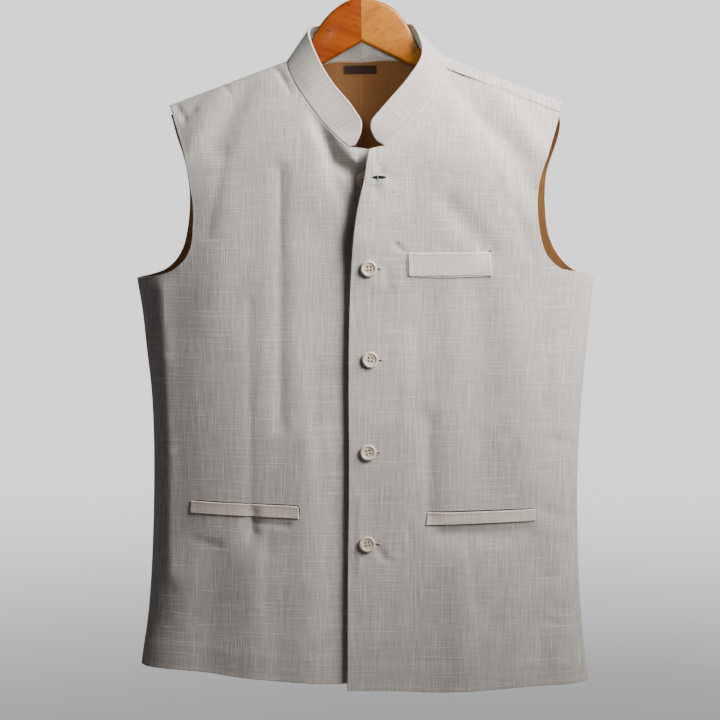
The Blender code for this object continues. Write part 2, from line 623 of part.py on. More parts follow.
def add_button(name, form, tree, x, z):
    """Button lying on a front, turned to its face."""
    point = cast(tree, x, z, FRONT_START)[0]
    around = [cast(tree, x + dx * BUTTON_FOOT, z + dz * BUTTON_FOOT, FRONT_START)[0]
              for dx, dz in ((-1, -1), (1, -1), (1, 1), (-1, 1))]
    across = np.cross(around[2] - around[0], around[3] - around[1])
    across /= np.linalg.norm(across)
    if across[1] > 0:
        across = -across
    high = max(float(np.dot(corner - point, across)) for corner in around)
    seat = point + across * (BUTTON_LIFT + max(high, 0))
    turn = Vector(across).to_track_quat("Z", "Y").to_matrix().to_4x4()
    mesh = form.copy()
    mesh.name = name
    mesh.transform(Matrix.Translation(Vector(seat) * MM) @ turn)
    mesh.materials.clear()
    mesh.materials.append(material("button_resin"))
    made = bpy.data.objects.new(name, mesh)
    PARTS.objects.link(made)


def arm_rings(table, side):
    """Sections of a hanger arm: rounded oblongs from the middle of the hanger to the tip."""
    rows = list(table)
    for x, share in zip(ARM_FAR, ARM_TIP):
        top = float(ridge(np.array(side * x))) - ARM_REST
        middle = top - ARM_DEPTH * ARM_MIDDLE
        rows.append((x, middle + (top - middle) * share, middle - ARM_DEPTH * (1 - ARM_MIDDLE) * share,
                     ARM_THICK * (ARM_TIP_THICK + (1 - ARM_TIP_THICK) * share)))
    rings = []
    for x, top, bottom, thick in rows:
        corner = min(ARM_CORNER, thick - ARM_FLAT)
        turn = np.arange(ARM_SIDES) * 2 * np.pi / ARM_SIDES + np.pi / ARM_SIDES
        y = np.cos(turn) * corner + np.sign(np.cos(turn)) * (thick - corner)
        z = np.sin(turn) * corner + np.where(np.sin(turn) > 0, top - corner, bottom + corner)
        rings.append(np.stack([np.full_like(y, side * x), ARM_Y + y, z], 1))
    return np.array(rings)


def hook_rings():
    """Sections of the hook's wire: a straight stem, an easy bend and most of a circle."""
    radius = HOOK_INNER + HOOK_WIRE
    start = math.radians(-50)
    circle_start = np.array([radius * math.cos(start), -HOOK_INNER + radius * math.sin(start)])
    foot, neck = np.array([0.0, HOOK_STEM[0]]), np.array([0.0, HOOK_STEM[1]])
    handles = (neck, neck + (0, 9.0), circle_start - np.array([-math.sin(start), math.cos(start)]) * 9.0,
               circle_start)
    t = np.linspace(0, 1, 7)[:, None]
    bend = (handles[0] * (1 - t) ** 3 + handles[1] * 3 * t * (1 - t) ** 2
            + handles[2] * 3 * t * t * (1 - t) + handles[3] * t ** 3)
    turn = np.radians(np.linspace(-50, 202, 23))[1:]
    arc = np.stack([radius * np.cos(turn), -HOOK_INNER + radius * np.sin(turn)], 1)
    path = np.concatenate([foot[None], bend, arc])
    along = np.gradient(path, axis=0)
    along /= np.linalg.norm(along, axis=1, keepdims=True)
    side = np.stack([along[:, 1], -along[:, 0]], 1)
    angle = np.arange(HOOK_SIDES) * 2 * np.pi / HOOK_SIDES
    out = HOOK_WIRE * np.cos(angle)[None, :, None] * side[:, None, :]
    rings = np.empty((len(path), HOOK_SIDES, 3))
    rings[..., 0] = path[:, None, 0] + out[..., 0]
    rings[..., 2] = path[:, None, 1] + out[..., 1]
    rings[..., 1] = HOOK_WIRE * np.sin(angle)[None, :]
    return rings


def collar_surfaces(under, over, back):
    """Outer and inner grids of the band: its foot follows the neckline, its top edge the table."""
    front = slice(LOW_ROWS + MID_ROWS + 1, -1)
    behind = slice(BACK_SHOULDER_COLUMNS, -BACK_SHOULDER_COLUMNS)
    feet = [under[0][front, 0], back[0][-1, behind], over[0][front, 0][::-1]]
    normals = [under[1][front, 0], back[1][-1, behind], over[1][front, 0][::-1]]
    places = []
    for index, foot in enumerate(feet):
        length = np.concatenate([[0], np.cumsum(np.linalg.norm(np.diff(foot, axis=0), axis=1))])
        if index == 1:
            lead = np.linalg.norm(foot[0] - feet[0][-1])
            tail = np.linalg.norm(feet[2][0] - foot[-1])
            places.append(1 + (lead + length) / (lead + length[-1] + tail))
        else:
            places.append(index + length / length[-1])
    foot, normal = np.concatenate(feet), np.concatenate(normals)
    out = np.array(NECK_AXIS) - foot * (1, 1, 0)
    place = np.concatenate(places)
    along = np.gradient(foot, axis=0)
    along /= np.linalg.norm(along, axis=1, keepdims=True)
    edge = np.cross(normal, along)
    edge *= np.sign(np.sum(edge * out, axis=1))[:, None]
    edge /= np.linalg.norm(edge, axis=1, keepdims=True)
    top = np.stack([smooth(place, COLLAR_TOP, column) for column in (1, 2, 3)], 1)
    base = foot + edge * COLLAR_SEAM + normal * (BAND - CLOTH) / 2
    middle_base = base - normal * BAND / 2
    rise = top - middle_base
    face = np.cross(along, rise)
    face /= np.linalg.norm(face, axis=1, keepdims=True)
    face *= np.sign(np.sum(face * normal, axis=1))[:, None]
    outer, inner = [], []
    for share in COLLAR_ROWS:
        blend = step(share / COLLAR_ROWS[2])
        across = normal * (1 - blend) + face * blend
        across /= np.linalg.norm(across, axis=1, keepdims=True)
        middle = middle_base + rise * share
        outer.append(middle + across * BAND / 2)
        inner.append(middle - across * BAND / 2)
    return np.array(outer), np.array(inner)


for old in list(bpy.data.objects):
    bpy.data.objects.remove(old, do_unlink=True)
PARTS = bpy.data.collections.new("waistcoat_on_hanger")
CUTTERS = bpy.data.collections.new("cutters")
bpy.context.scene.collection.children.link(PARTS)
bpy.context.scene.collection.children.link(CUTTERS)
CUTTERS.hide_render = True

over_grid = front_grid(OVER_EDGE, OVER_NECK, OVER_ARM, HEM_OVER, 2, WRAP + SEAM_M, FOLDS_OVER)
under_grid = front_grid(UNDER_EDGE, UNDER_NECK, UNDER_ARM, HEM_UNDER, 1, 0.0, FOLDS_UNDER)
back_x, back_m = back_flat()
whole_back = back_surface(back_x, back_m)

over_panel = shell("front_left", "linen", over_grid[0], over_grid[0] - over_grid[1] * CLOTH)
under_panel = shell("front_right", "linen", under_grid[0], under_grid[0] - under_grid[1] * CLOTH)
shell("back", "linen", whole_back[0], whole_back[0] - whole_back[1] * CLOTH)

lining_outer, lining_inner = lining_grids(back_x, back_m)
lining = shell("back_lining", "lining_satin", lining_outer, lining_inner)

collar_outer, collar_inner = collar_surfaces(under_grid, over_grid, whole_back)
shell("collar", "linen", collar_outer, collar_inner)

over_tree, under_tree, lining_tree = tree_of(over_panel), tree_of(under_panel), tree_of(lining)
patch("chest_welt", "welt_linen", over_tree, CHEST_WELT, 10, 3, FRONT_START, CHEST_LIFT, WELT)
patch("pocket_welt_left", "welt_linen", over_tree, LOWER_WELT_OVER, 14, 2, FRONT_START,
      LEFT_LIFT, WELT)
patch("pocket_welt_right", "welt_linen", under_tree, LOWER_WELT_UNDER, 14, 2, FRONT_START,
      RIGHT_LIFT, WELT)
patch("label", "label_cloth", lining_tree, NECK_LABEL, 6, 2, LABEL_START, LABEL_LIFT, LABEL)

form = button_mesh()
for number, (x, z) in enumerate(BUTTONS, 1):
    add_button("button_%d" % number, form, under_tree if number == 1 else over_tree, x, z)
bpy.data.meshes.remove(form)

loft("hanger_arm_right", "hanger_wood", arm_rings(ARM_LEFT, -1))
loft("hanger_arm_left", "hanger_wood", arm_rings(ARM_RIGHT, 1))
loft("hanger_hook", "hook_metal", hook_rings())
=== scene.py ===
"""Band-collar linen waistcoat on a wooden hanger: cloth, sewing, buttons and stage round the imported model.

Tables are in millimetres and meshes in metres. The rail touches the hook at the origin, +X is the
wearer's left, -Y the front of the garment and +Z up.
"""
import math

import bpy
import numpy as np
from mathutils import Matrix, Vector


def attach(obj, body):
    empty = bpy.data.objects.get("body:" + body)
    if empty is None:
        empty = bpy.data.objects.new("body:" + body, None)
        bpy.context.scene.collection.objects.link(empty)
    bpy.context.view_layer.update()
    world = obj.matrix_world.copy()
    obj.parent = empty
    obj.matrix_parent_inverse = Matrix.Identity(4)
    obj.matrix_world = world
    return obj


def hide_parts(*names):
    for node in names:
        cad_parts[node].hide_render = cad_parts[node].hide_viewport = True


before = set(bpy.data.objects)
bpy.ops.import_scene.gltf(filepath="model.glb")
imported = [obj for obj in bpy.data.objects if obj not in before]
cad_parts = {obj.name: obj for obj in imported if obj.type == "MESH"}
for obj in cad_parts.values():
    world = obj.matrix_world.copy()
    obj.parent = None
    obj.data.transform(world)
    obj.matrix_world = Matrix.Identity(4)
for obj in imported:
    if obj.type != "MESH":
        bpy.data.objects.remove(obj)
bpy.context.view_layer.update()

bl_info = {
    "name": "Band-collar Waistcoat",
    "version": (1, 0, 0),
    "blender": (4, 5, 0),
    "location": "View3D > Sidebar > Waistcoat",
    "description": "Builds a linen waistcoat on its hanger, piece by piece",
    "category": "Add Mesh",
}

MM = 0.001
SEAM = 0.3
CLOTH = 1.6
LINING = 1.0
LINING_GAP = 1.2
BAND = 2.2
WELT = 1.2
LABEL = 0.6

CENTRE_X = 4.5
ROUND = 2.5
ROLL_FRONT = 120.0
ROLL_BACK = 80.0

# Body of the hanging garment: height, left and right side, side seam depth, front and back depth.
SECTIONS = (
    (-840, -254.0, 258.9, 1.0, 60, 39), (-822, -251.6, 256.6, 1.0, 60, 39),
    (-789, -247.1, 253.0, 1.5, 61, 40), (-755, -243.0, 250.2, 2.0, 61, 40),
    (-718, -240.2, 247.8, 3.0, 62, 41), (-666, -237.6, 246.1, 4.0, 62, 41),
    (-610, -236.1, 245.3, 4.0, 63, 42), (-544, -236.2, 247.2, 4.0, 64, 44),
    (-504, -238.1, 250.0, 4.0, 64, 45), (-462, -242.5, 253.5, 4.0, 64, 46),
    (-413, -247.6, 258.0, 4.0, 63, 46), (-380, -252.6, 260.9, 3.0, 63, 46),
    (-300, -255.0, 263.0, 2.0, 63, 45), (-100, -257.0, 265.0, 2.0, 62, 44))

# Shoulder lines: x and z of each neck point, slope of the line.
SHOULDER_LEFT = (-83.5, -138.3, 0.378)
SHOULDER_RIGHT = (89.7, -131.8, -0.3866)
NECK_ROUND = 8.0

VENT_TOP_LEFT = -755.0
VENT_TOP_RIGHT = -769.0
VENT_LENGTH = 70.0
VENT_OPEN = 6.0

# Rows of a panel: hem to underarm, underarm to front corner, corner to shoulder.
LOW_ROWS = 12
MID_ROWS = 11
TOP_STEPS = (0, 0.14, 0.28, 0.42, 0.55, 0.67, 0.77, 0.85, 0.91, 0.96, 1.0)
BACK_TOP_STEPS = (0, 0.14, 0.28, 0.42, 0.55, 0.67, 0.76, 0.83, 0.88, 0.92, 0.96, 1.0)
MID_SHARE = 0.6
UNDERARM_INNER_Z = -372.0
BLEND_ROWS = 4.0
FRONT_COLUMNS = (0, 0.05, 0.11, 0.18, 0.26, 0.34, 0.42, 0.50, 0.58, 0.66, 0.735, 0.80, 0.86, 0.915,
                 0.953, 0.98, 0.9965, 1.0)

# Front edges: x, z from the hem up.
OVER_EDGE = ((-16.2, -839.3), (-15.5, -694.5), (-14.6, -622.5), (-13.7, -411.1), (-12.5, -378.7),
             (-9.6, -335.0), (-6.9, -313.2), (-3.9, -295.3), (2.2, -269.4), (5.3, -249.7), (7.5, -236.4))
UNDER_EDGE = ((29.0, -834.0), (30.0, -378.0), (28.0, -330.0), (23.0, -290.0), (16.0, -262.0),
              (9.0, -237.2))
# Necklines: x, z from the front corner, first the end of the collar, to the shoulder seam.
OVER_NECK = ((7.5, -236.4), (23.7, -233.2), (41.8, -217.8), (59.4, -200.3), (72.8, -184.9),
             (83.0, -166.1), (91.5, -148.5), (93.3, -144.6))
UNDER_NECK = ((9.0, -237.2), (-11.0, -235.2), (-28.3, -222.3), (-45.4, -203.9), (-60.9, -183.8),
              (-73.5, -165.2), (-81.5, -148.1), (-83.5, -138.3))
# Front armholes: x, z from the underarm to the shoulder seam.
OVER_ARM = ((260.9, -380.0), (250.0, -375.0), (238.9, -371.4), (219.0, -366.6), (210.6, -360.0),
            (202.3, -348.9), (197.3, -332.8), (194.3, -312.7), (194.1, -292.5), (195.3, -277.2),
            (198.4, -260.2), (204.0, -244.9), (210.0, -227.9), (216.6, -207.8), (219.7, -196.5))
UNDER_ARM = ((-252.6, -380.0), (-242.9, -378.4), (-224.4, -374.9), (-211.1, -370.5), (-202.9, -364.8),
             (-193.9, -355.1), (-188.9, -343.6), (-186.2, -323.5), (-186.0, -298.7), (-189.1, -277.2),
             (-194.8, -244.9), (-200.8, -226.4), (-208.4, -204.6), (-215.2, -188.1))
# Back armholes; on the right the panel passes the shoulder line by WRAP and ends on the front.
SHOULDER_TIP_LEFT = -215.2
SHOULDER_TIP_RIGHT = 219.9
BACK_ARM_LEFT = ((-252.6, -380.0), (-237.0, -377.0), (-221.9, -371.0), (-211.2, -361.1),
                 (-203.3, -346.9), (-199.3, -331.0), (-196.4, -310.3), (-195.9, -278.5),
                 (-198.5, -250.0), (-203.0, -226.0), (-209.0, -205.0), (-215.2, -188.1))
BACK_ARM_RIGHT = ((260.9, -380.0), (245.0, -374.3), (231.6, -364.5), (219.2, -347.3), (212.9, -331.0),
                  (210.4, -316.7), (209.0, -294.4), (208.7, -278.5), (209.2, -254.6), (210.6, -237.3),
                  (215.0, -217.0), (221.5, -195.0), (224.2, -183.8))
WRAP = 0.33
SEAM_M = 0.0045
# Length on the cloth of one unit of m, about.
ROOT_LENGTH = 150.0
EDGE_SAMPLES = 400
# Back neckline: x and m (see body) from the left neck point to the right one.
BACK_NECK = ((-83.5, 0.0), (-81.5, 0.12), (-78.0, 0.22), (-72.0, 0.30), (-60.0, 0.37), (-34.0, 0.43),
             (4.0, 0.56), (42.0, 0.48), (64.0, 0.38), (76.0, 0.31), (85.0, 0.18), (89.3, 0.02),
             (93.3, -0.33))
BACK_COLUMNS = (0, 0.0035, 0.02, 0.047, 0.085, 0.135, 0.185, 0.24, 0.295, 0.35, 0.40, 0.45, 0.50,
                0.55, 0.60, 0.65, 0.705, 0.76, 0.815, 0.865, 0.915, 0.953, 0.98, 0.9965, 1.0)
NECK_SHARES = (0, 0.06, 0.15, 0.30, 0.48, 0.66, 0.79, 0.87, 0.92, 0.96, 1.0)
BACK_SHOULDER_COLUMNS = 7
BACK_MID_ROWS = 8
BACK_SHARE = 0.55
LINING_TOP = 0.30
LINING_EASE = 1.6
# The lining's ease grows above m = EASE_START, over EASE_LENGTH, and round the underarms.
EASE_START = 1.25
EASE_LENGTH = 0.6
UNDERARM_EASE = 22.0

HEM_OVER = ((-16.2, -839.3), (42.8, -840.2), (78.8, -842.0), (123.1, -841.2), (184.4, -838.5),
            (258.3, -838.7))
HEM_UNDER = ((29.0, -834.0), (-18.4, -833.0), (-80.8, -830.3), (-131.1, -826.5), (-192.3, -821.0),
             (-251.2, -820.5))
HEM_BACK = ((-251.2, -820.5), (-120.0, -824.0), (4.0, -827.0), (130.0, -832.0), (258.3, -838.7))

# Folds: start x, z, end x, z, half width, height (below nought for a trough). They fade out where m
# is under FOLD_FADE, at the shoulders.
FOLD_FADE = 0.55
FOLDS_OVER = (
    (-16, -845, -12, -380, 46, 1.7), (7, -243, -6, -330, 36, 6.2), (110, -159, 197, -292, 15, -3.4),
    (150, -170, 214, -262, 12, 2.6), (95, -296, 141, -348, 13, -2.4), (75, -534, 75, -642, 13, -2.2),
    (128, -395, 136, -600, 20, -2.0), (170, -420, 186, -600, 24, 2.2), (90, -665, 190, -668, 11, -2.0),
    (214, -560, 232, -566, 8, -1.8), (208, -640, 236, -652, 8, -1.6), (110, -700, 120, -838, 24, 2.4),
    (200, -700, 206, -838, 22, -2.6), (74, -396, 78, -500, 18, -1.6))
FOLDS_UNDER = (
    (2, -840, 2, -345, 34, -7.0), (2, -330, 6, -268, 22, -8.0), (-50, -204, -20, -254, 9, -4.0),
    (-26, -226, -8, -247, 8, 3.2), (-89, -259, -90, -540, 9, -1.8), (-123, -402, -124, -664, 9, -1.6),
    (-160, -170, -195, -250, 14, 2.4), (-130, -166, -160, -235, 13, -2.4),
    (-222, -390, -216, -712, 12, 2.6), (-150, -300, -165, -420, 26, 2.2),
    (-60, -560, -64, -820, 26, 2.2), (-121, -640, -121, -664, 7, -2.2),
    (-170, -690, -176, -818, 22, -2.4), (-118, -700, -118, -824, 20, 2.0),
    (-50, -330, -46, -480, 22, -1.6))
FOLDS_BACK = (
    (-130, -250, -110, -760, 30, 2.6), (128, -260, 122, -780, 32, 2.6),
    (-60, -190, -140, -330, 18, -2.2), (70, -190, 150, -330, 18, -2.4), (2, -300, 6, -800, 38, -3.0),
    (-190, -470, -186, -800, 22, -2.2), (196, -450, 192, -800, 22, -2.0))

# Top edge of the collar: place round the neck, x, y, z of the middle of the band. Places 0 to 1 run
# up the under front, 1 to 2 across the back and 2 to 3 down the over front.
COLLAR_TOP = (
    (0.00, -7.0, -61, -232.0), (0.06, -1.8, -60, -221.5), (0.14, 0.3, -59, -209.0),
    (0.26, -7.5, -54, -193.5), (0.50, -31.0, -43, -164.5), (0.75, -48.0, -30, -136.0),
    (1.00, -58.2, -3, -105.0), (1.20, -45.0, 18, -98.5), (1.50, 2.0, 30, -95.0), (1.80, 50.0, 17, -96.5),
    (2.00, 58.5, -4, -103.0), (2.25, 66.0, -22, -131.0), (2.50, 49.0, -40, -160.0),
    (2.74, 20.0, -54, -193.5), (2.86, 9.6, -59, -207.5), (2.94, 11.0, -61, -219.0),
    (3.00, 16.0, -62, -228.0))
# From any point of the neckline the collar rises towards this point: x, y and the rise.
NECK_AXIS = (4.5, -15.0, 45.0)
COLLAR_SEAM = 0.5

# Welts: the four corners x, z (lower left, lower right, upper right, upper left).
CHEST_WELT = ((51.8, -374.8), (142.4, -374.3), (141.1, -349.0), (50.7, -349.6))
LOWER_WELT_UNDER = ((-191.6, -640.9), (-69.7, -644.4), (-69.7, -630.3), (-190.4, -627.3))
LOWER_WELT_OVER = ((71.4, -652.3), (193.8, -649.6), (193.1, -636.6), (73.6, -638.2))
NECK_LABEL = ((-20.6, -149.3), (17.3, -149.3), (17.3, -139.4), (-20.6, -139.4))

# Gap between the label and the lining, and between a welt and its front.
LABEL_LIFT = 0.85
WELT_LIFT = 0.15

# Buttons from the top: x, z.
BUTTONS = ((3.3, -271.1), (7.4, -366.1), (9.1, -466.6), (6.9, -569.7), (5.8, -672.7))

# Hanger arms: distance from the middle, top z, bottom z, half thickness.
ARM_LEFT = ((0.15, -70.2, -118.1, 6.5), (12, -71.5, -124.5, 6.5), (25.6, -78.5, -132.5, 6.5),
            (36, -87.0, -138.5, 6.4), (44.3, -96.8, -143.2, 6.3), (55.2, -115.4, -149.0, 6.0),
            (64, -128.5, -153.6, 5.7), (74, -138.5, -159.0, 5.5), (86, -143.2, -164.0, 5.5))
ARM_RIGHT = ((0.15, -70.2, -118.1, 6.5), (12, -71.0, -123.5, 6.5), (24, -75.0, -129.2, 6.5),
             (35.5, -81.5, -134.6, 6.4), (48.9, -96.8, -140.8, 6.3), (58.3, -113.8, -145.0, 6.0),
             (65.5, -125.8, -148.0, 5.7), (74, -132.2, -151.0, 5.5), (85, -135.6, -155.0, 5.5))
ARM_FAR = (98, 118, 142, 168, 188, 198, 202)
ARM_DEPTH = 21.0
# Share of the depth above the widest line, half thickness and its share at the tip, corner and flat.
ARM_MIDDLE = 0.45
ARM_THICK = 5.5
ARM_TIP_THICK = 0.55
ARM_CORNER = 4.5
ARM_FLAT = 0.8
ARM_TIP = (1.0, 1.0, 1.0, 1.0, 0.96, 0.74, 0.40)
ARM_Y = 1.0
ARM_REST = 2.8

HOOK_WIRE = 1.8
HOOK_INNER = 19.5
HOOK_STEM = (-69.9, -52.0)


# Fine grids: rows of the fronts and the back, columns, and the close lines that round off the edges.
FRONT_SPANS = ((12, 11), (11, 5), (11, 4))
BACK_SPANS = ((12, 10), (8, 5), (11, 4))
NEAR_HEM = np.array([0, 0.0026, 0.009, 0.02, 0.04])
NEAR_SHOULDER = np.array([0, 0.02, 0.07, 0.16, 0.3])
NEAR_SIDE = np.array([0, 0.01, 0.03, 0.06, 0.1, 0.16, 0.24, 0.33, 0.43, 0.54, 0.66, 0.78, 0.9, 1]) ** ROUND
NEAR_CENTRE = np.array([0, 0.007, 0.025, 0.057, 0.12])

# Doubled cloth at the hem and behind the centre edge, the swell of a folded edge and its width.
HEM_DEPTH = 31.0
HEM_STEP = 0.35
FACING_STEP = 0.3
STEP_WIDTH = 4.0
RIM_WIDTH = 2.6
RIM_LINEN = 0.28
RIM_COLLAR = 0.3
RIM_WELT = 0.22
RIM_LABEL = 0.1
CREASE_FADE = 0.2
# m at which the facing's step starts to show and over which it grows.
FACING_TOP = 0.8
FACING_FADE = 0.4
# How far inside each edge a front is lined.
LINED_CENTRE = 62
LINED_HEM = 34
LINED_NECK = 40
LINED_SIDE = 1.0
LINED_ARM = 8.0
LINING_CENTRE = -1.0
# Puckers of the lining: height, then the lengths of their waves and how far these wander.
PUCKER = 0.35
PUCKER_WAVES = (7.0, 1.3, 23.0, 31.0, 60.0)
# Steps of the arc table for the lie of the weave, and the reach and share of the shoulder's roll in it.
ARC_STEPS = 200
WEAVE_ROLL = 0.8
WEAVE_RISE = 0.8
# Stitches: steps of one, rise and dip of the thread as shares of its radius.
STITCH_STEPS = 6
STITCH_RISE = 0.45
STITCH_DIP = 1.15

# Creases: start x, z, end x, z, half width, height (below nought for a trough).
CREASES_OVER = (
    (75, -536, 75, -640, 4, -0.7), (52, -651, 52, -666, 3, -0.9), (15.7, -673, 23.5, -687.5, 3.5, -1.2),
    (23.5, -687.5, 31.2, -692, 3.5, -1.0), (214, -676, 240, -679, 4, -0.9),
    (208, -715, 236, -711, 4, -1.0), (214, -750, 240, -757, 4, -0.9), (204, -764, 234, -769, 5, -1.0),
    (20, -254, 22, -262, 3.5, -0.9), (12, -273.0, 25, -272.6, 2.6, 1.1), (15, -277, 17, -285, 4, -0.9),
    (36, -340, 47, -348, 3, -0.9), (27, -366, 29, -386, 3.5, -0.9), (14, -386, 40, -384, 5, 0.6),
    (-2, -620, -2, -706, 3, 0.7), (95, -158, 132, -204, 8, -2.0), (132, -204, 178, -244, 9, -1.5),
    (122, -215, 148, -268, 7, -0.7), (168, -300, 186, -352, 7, -0.9), (86, -661, 186, -659, 5, -0.9),
    (120, -680, 128, -742, 7, -0.8), (222, -400, 214, -520, 8, 0.8), (60, -430, 64, -540, 8, -0.7))
CREASES_UNDER = (
    (-205, -190, -197, -202, 4, -1.3), (-197, -202, -186, -194, 4, -1.0),
    (-155, -163, -147, -173, 4, -1.0), (-97, -146, -86, -162, 3.5, -1.2),
    (-90, -152, -80, -172, 3.5, -1.0), (-118, -650, -82, -652.5, 2.6, -2.2),
    (-121.5, -646, -121.5, -662, 1.8, -1.8), (-123, -665, -117, -668, 3.5, 0.9),
    (-222, -390, -218, -468, 5, 1.1), (-218, -468, -214, -575, 5, 1.1), (-214, -575, -216, -712, 5, 1.0),
    (-89, -262, -90, -540, 2.2, -0.8), (-123, -402, -124, -630, 2.4, -0.6),
    (-34, -216, -24, -239, 2.6, 1.1), (-24, -241, -4, -251, 2.2, 1.1), (-44, -218, -30, -248, 7, -3.4),
    (-30, -250, -4, -266, 9, -4.2), (-14, -300, -16, -840, 12, 0.8), (-123, -402, -124, -640, 9, 1.0),
    (-38, -252, -14, -300, 9, -2.2), (-150, -240, -170, -330, 7, -0.9),
    (-104, -660, -108, -740, 6, -0.8), (-186, -672, -160, -678, 5, -0.8),
    (-52, -470, -46, -620, 8, -0.8))
CREASES_BACK = (
    (-150, -190, -196, -262, 8, -1.1), (156, -190, 200, -270, 8, -1.0), (-30, -168, -64, -206, 6, -1.0),
    (40, -168, 74, -210, 6, -1.0), (-206, -392, -168, -424, 6, -1.0), (212, -394, 174, -430, 6, -1.0),
    (-70, -470, -84, -720, 9, 0.9), (66, -500, 84, -760, 9, 0.9), (-212, -540, -190, -548, 5, -0.9),
    (204, -612, 228, -604, 5, -0.9), (-214, -700, -186, -712, 5, -0.9), (200, -740, 226, -736, 5, -0.8),
    (20, -330, 30, -450, 7, -0.8), (-24, -560, -18, -700, 7, -0.8))
# The over front's edge stands a little off the under front.
LIFT_OVER = (
    (-20, -845, -16, -380, 16, 0.6), (4, -246, -8, -330, 13, 1.3), (4, -244, -2, -282, 10, 1.5))

# Buttonholes: middle x, z, half length, half opening; the first is undone.
HOLES = ((18.9, -267.0, 7.6, 1.9), (13.4, -366.6, 8.2, 0.5), (15.3, -467.2, 8.2, 0.45),
         (13.1, -570.2, 8.2, 0.45), (12.0, -673.2, 8.2, 0.5))
# Painted shade dot beside each fastened button: start and end from the middle, half width and lift.
HOLE_DOT = (3.8, 6.9, 0.85, 0.3)
# Sewn edge: width, swell of each stitch, steps of one, height and foot of its section; lift of the slit.
HOLE_EDGE = 1.35
HOLE_SWELL = 0.16
HOLE_STITCH = 4
HOLE_RISE = 0.42
HOLE_FOOT = 0.12
SLIT_LIFT = 0.22

# Painted shade lines at the pocket mouths, dark strands on the cloth: panel, x, z pairs along each, half
# width.
MOUTH_LIFT = 0.14
MOUTHS = (
    ("under", ((-190.6, -626.5), (-130.0, -628.6), (-71.6, -629.6), (-68.9, -633.0), (-68.9, -642.0)),
     0.75),
    ("over", ((73.4, -637.4), (130.0, -636.6), (193.4, -635.8)), 0.6),
    ("over", ((50.6, -350.6), (50.9, -362.0), (51.4, -373.6)), 0.4),
)
# Turned edges round the welts, raised strands in a colour brighter than the cloth that paints a highlight
# along them: panel, x, z pairs, half width.
LIPS = (
    ("over", ((51.6, -375.5), (95.0, -376.2), (141.0, -374.8), (141.7, -349.4)), 0.6),
    ("over", ((50.2, -351.0), (50.0, -363.0), (50.9, -375.4)), 0.45),
    ("over", ((72.8, -650.9), (130.0, -649.9), (192.6, -648.7)), 0.55),
    ("under", ((-191.4, -628.0), (-191.5, -639.0), (-130.0, -641.5), (-69.6, -644.3)), 0.55),
)
# Tacks at the chest welt's end: x, z pairs.
TACKS = (((140.2, -346.6), (142.4, -348.8)), ((139.2, -377.6), (141.8, -374.6)))
# Half width and lift of the tacks.
TACK = (0.55, 0.35)
# Coloured specks in the cloth: x, z, size; and a stray thread with its half width and lift.
SPECKS = ((19.4, -252.0, 1.5), (35.0, -283.3, 1.6), (9.1, -313.3, 1.5), (36.4, -312.2, 1.5),
          (39.9, -338.5, 2.4), (17.9, -326.0, 1.1), (34.0, -309.5, 1.1), (20.4, -273.5, 1.1))
STRAY_THREAD = ((16.9, -264.8), (17.5, -267.6), (17.0, -269.4), (17.8, -271.4))
STRAY_SIZE = (0.65, 0.75)
# Step along the lines above, and the power by which they thin to their ends.
LINE_STEP = 1.5
LINE_THIN = 0.35

# Collar: columns round the neck, rows by share of the height, and shallow dents: length along, share
# of the height, width, depth.
COLLAR_COLUMNS = 190
COLLAR_SHARES = np.unique(np.concatenate([[0, 0.004, 0.012, 0.025], np.linspace(0.05, 0.9, 15),
                                          [0.93, 0.955, 0.975, 0.988, 0.996, 1.0]]))
COLLAR_DENTS = ((22.0, 0.4, 9.0, -0.5), (46.0, 0.6, 9.0, -0.8), (88.0, 0.4, 12.0, 0.8),
                (128.0, 0.6, 9.0, -0.8), (352.0, 0.5, 10.0, -0.8), (398.0, 0.4, 14.0, 0.8),
                (432.0, 0.5, 10.0, -0.9), (462.0, 0.4, 8.0, 0.5))
DENT_SHARE = 0.3
# Close columns at both ends of the band, and the share over which it turns off the neckline's normal.
NEAR_COLLAR = np.array([0.12, 0.35, 0.7, 1.2])
COLLAR_TURN = 0.36
# Distance of the stitches below the top edge, half thickness of their thread, columns free of them at
# each end, x from which the seam's tube shows on the over front, and a dark fleck.
COLLAR_STITCH = 2.4
COLLAR_THREAD = 0.22
COLLAR_ENDS = 6
COLLAR_SEAM_X = 12.0
COLLAR_FLECK = (60.0, -52.0, -196.5)
# Half sizes of the strip inside each side seam, of the shoulder seam's line of painted shade and of the tube
# along the collar's seam, and how far that tube lies below the band.
SEAM_IN = 0.9
SEAM_LINE = 0.32
SEAM_DEPTH = 0.7
SEAM_DROP = 0.25

# Button: radius and height of its face and of its back, rings of the face (first and last radius,
# number), sides, reach of its foot on the cloth and gap to it.
BUTTON_FACE = ((0.0, 2.1), (2.0, 2.1), (4.2, 2.2), (5.6, 2.35), (6.4, 2.85), (7.3, 3.1), (8.2, 2.95),
               (8.8, 2.45), (9.0, 2.0))
BUTTON_BACK = np.array(((9.05, 2.0), (8.9, 1.1), (8.3, 0.5), (7.0, 0.3), (3.0, 0.3), (0.25, 0.3)))
BUTTON_RINGS = ((0.25, 5.8, 24), (6.1, 8.9, 12))
BUTTON_SIDES = 64
BUTTON_FOOT = 7.0
BUTTON_LIFT = 0.4
# Eyes: radius, distance from the middle, depth and half the width of their slope.
EYE_RADIUS = 1.05
EYE_SPREAD = 2.6
EYE_DEPTH = 1.5
EYE_SLOPE = 0.15
BUTTON_TURNS = (0.2, 0.08, -0.12, 0.3, 0.14)
# Sewing thread: reach as a share of the eyes' distance, foot, rise, height of the second, half sizes.
THREAD_REACH = 0.85
THREAD_FOOT = 0.9
THREAD_RISE = 1.15
THREAD_OVER = 0.2
THREAD_SIZE = (0.18, 0.16)
HOLE_STEPS = 144
ARM_SIDES_FINE = 40
ARM_STEPS = 110
ARM_JOINT = 0.03
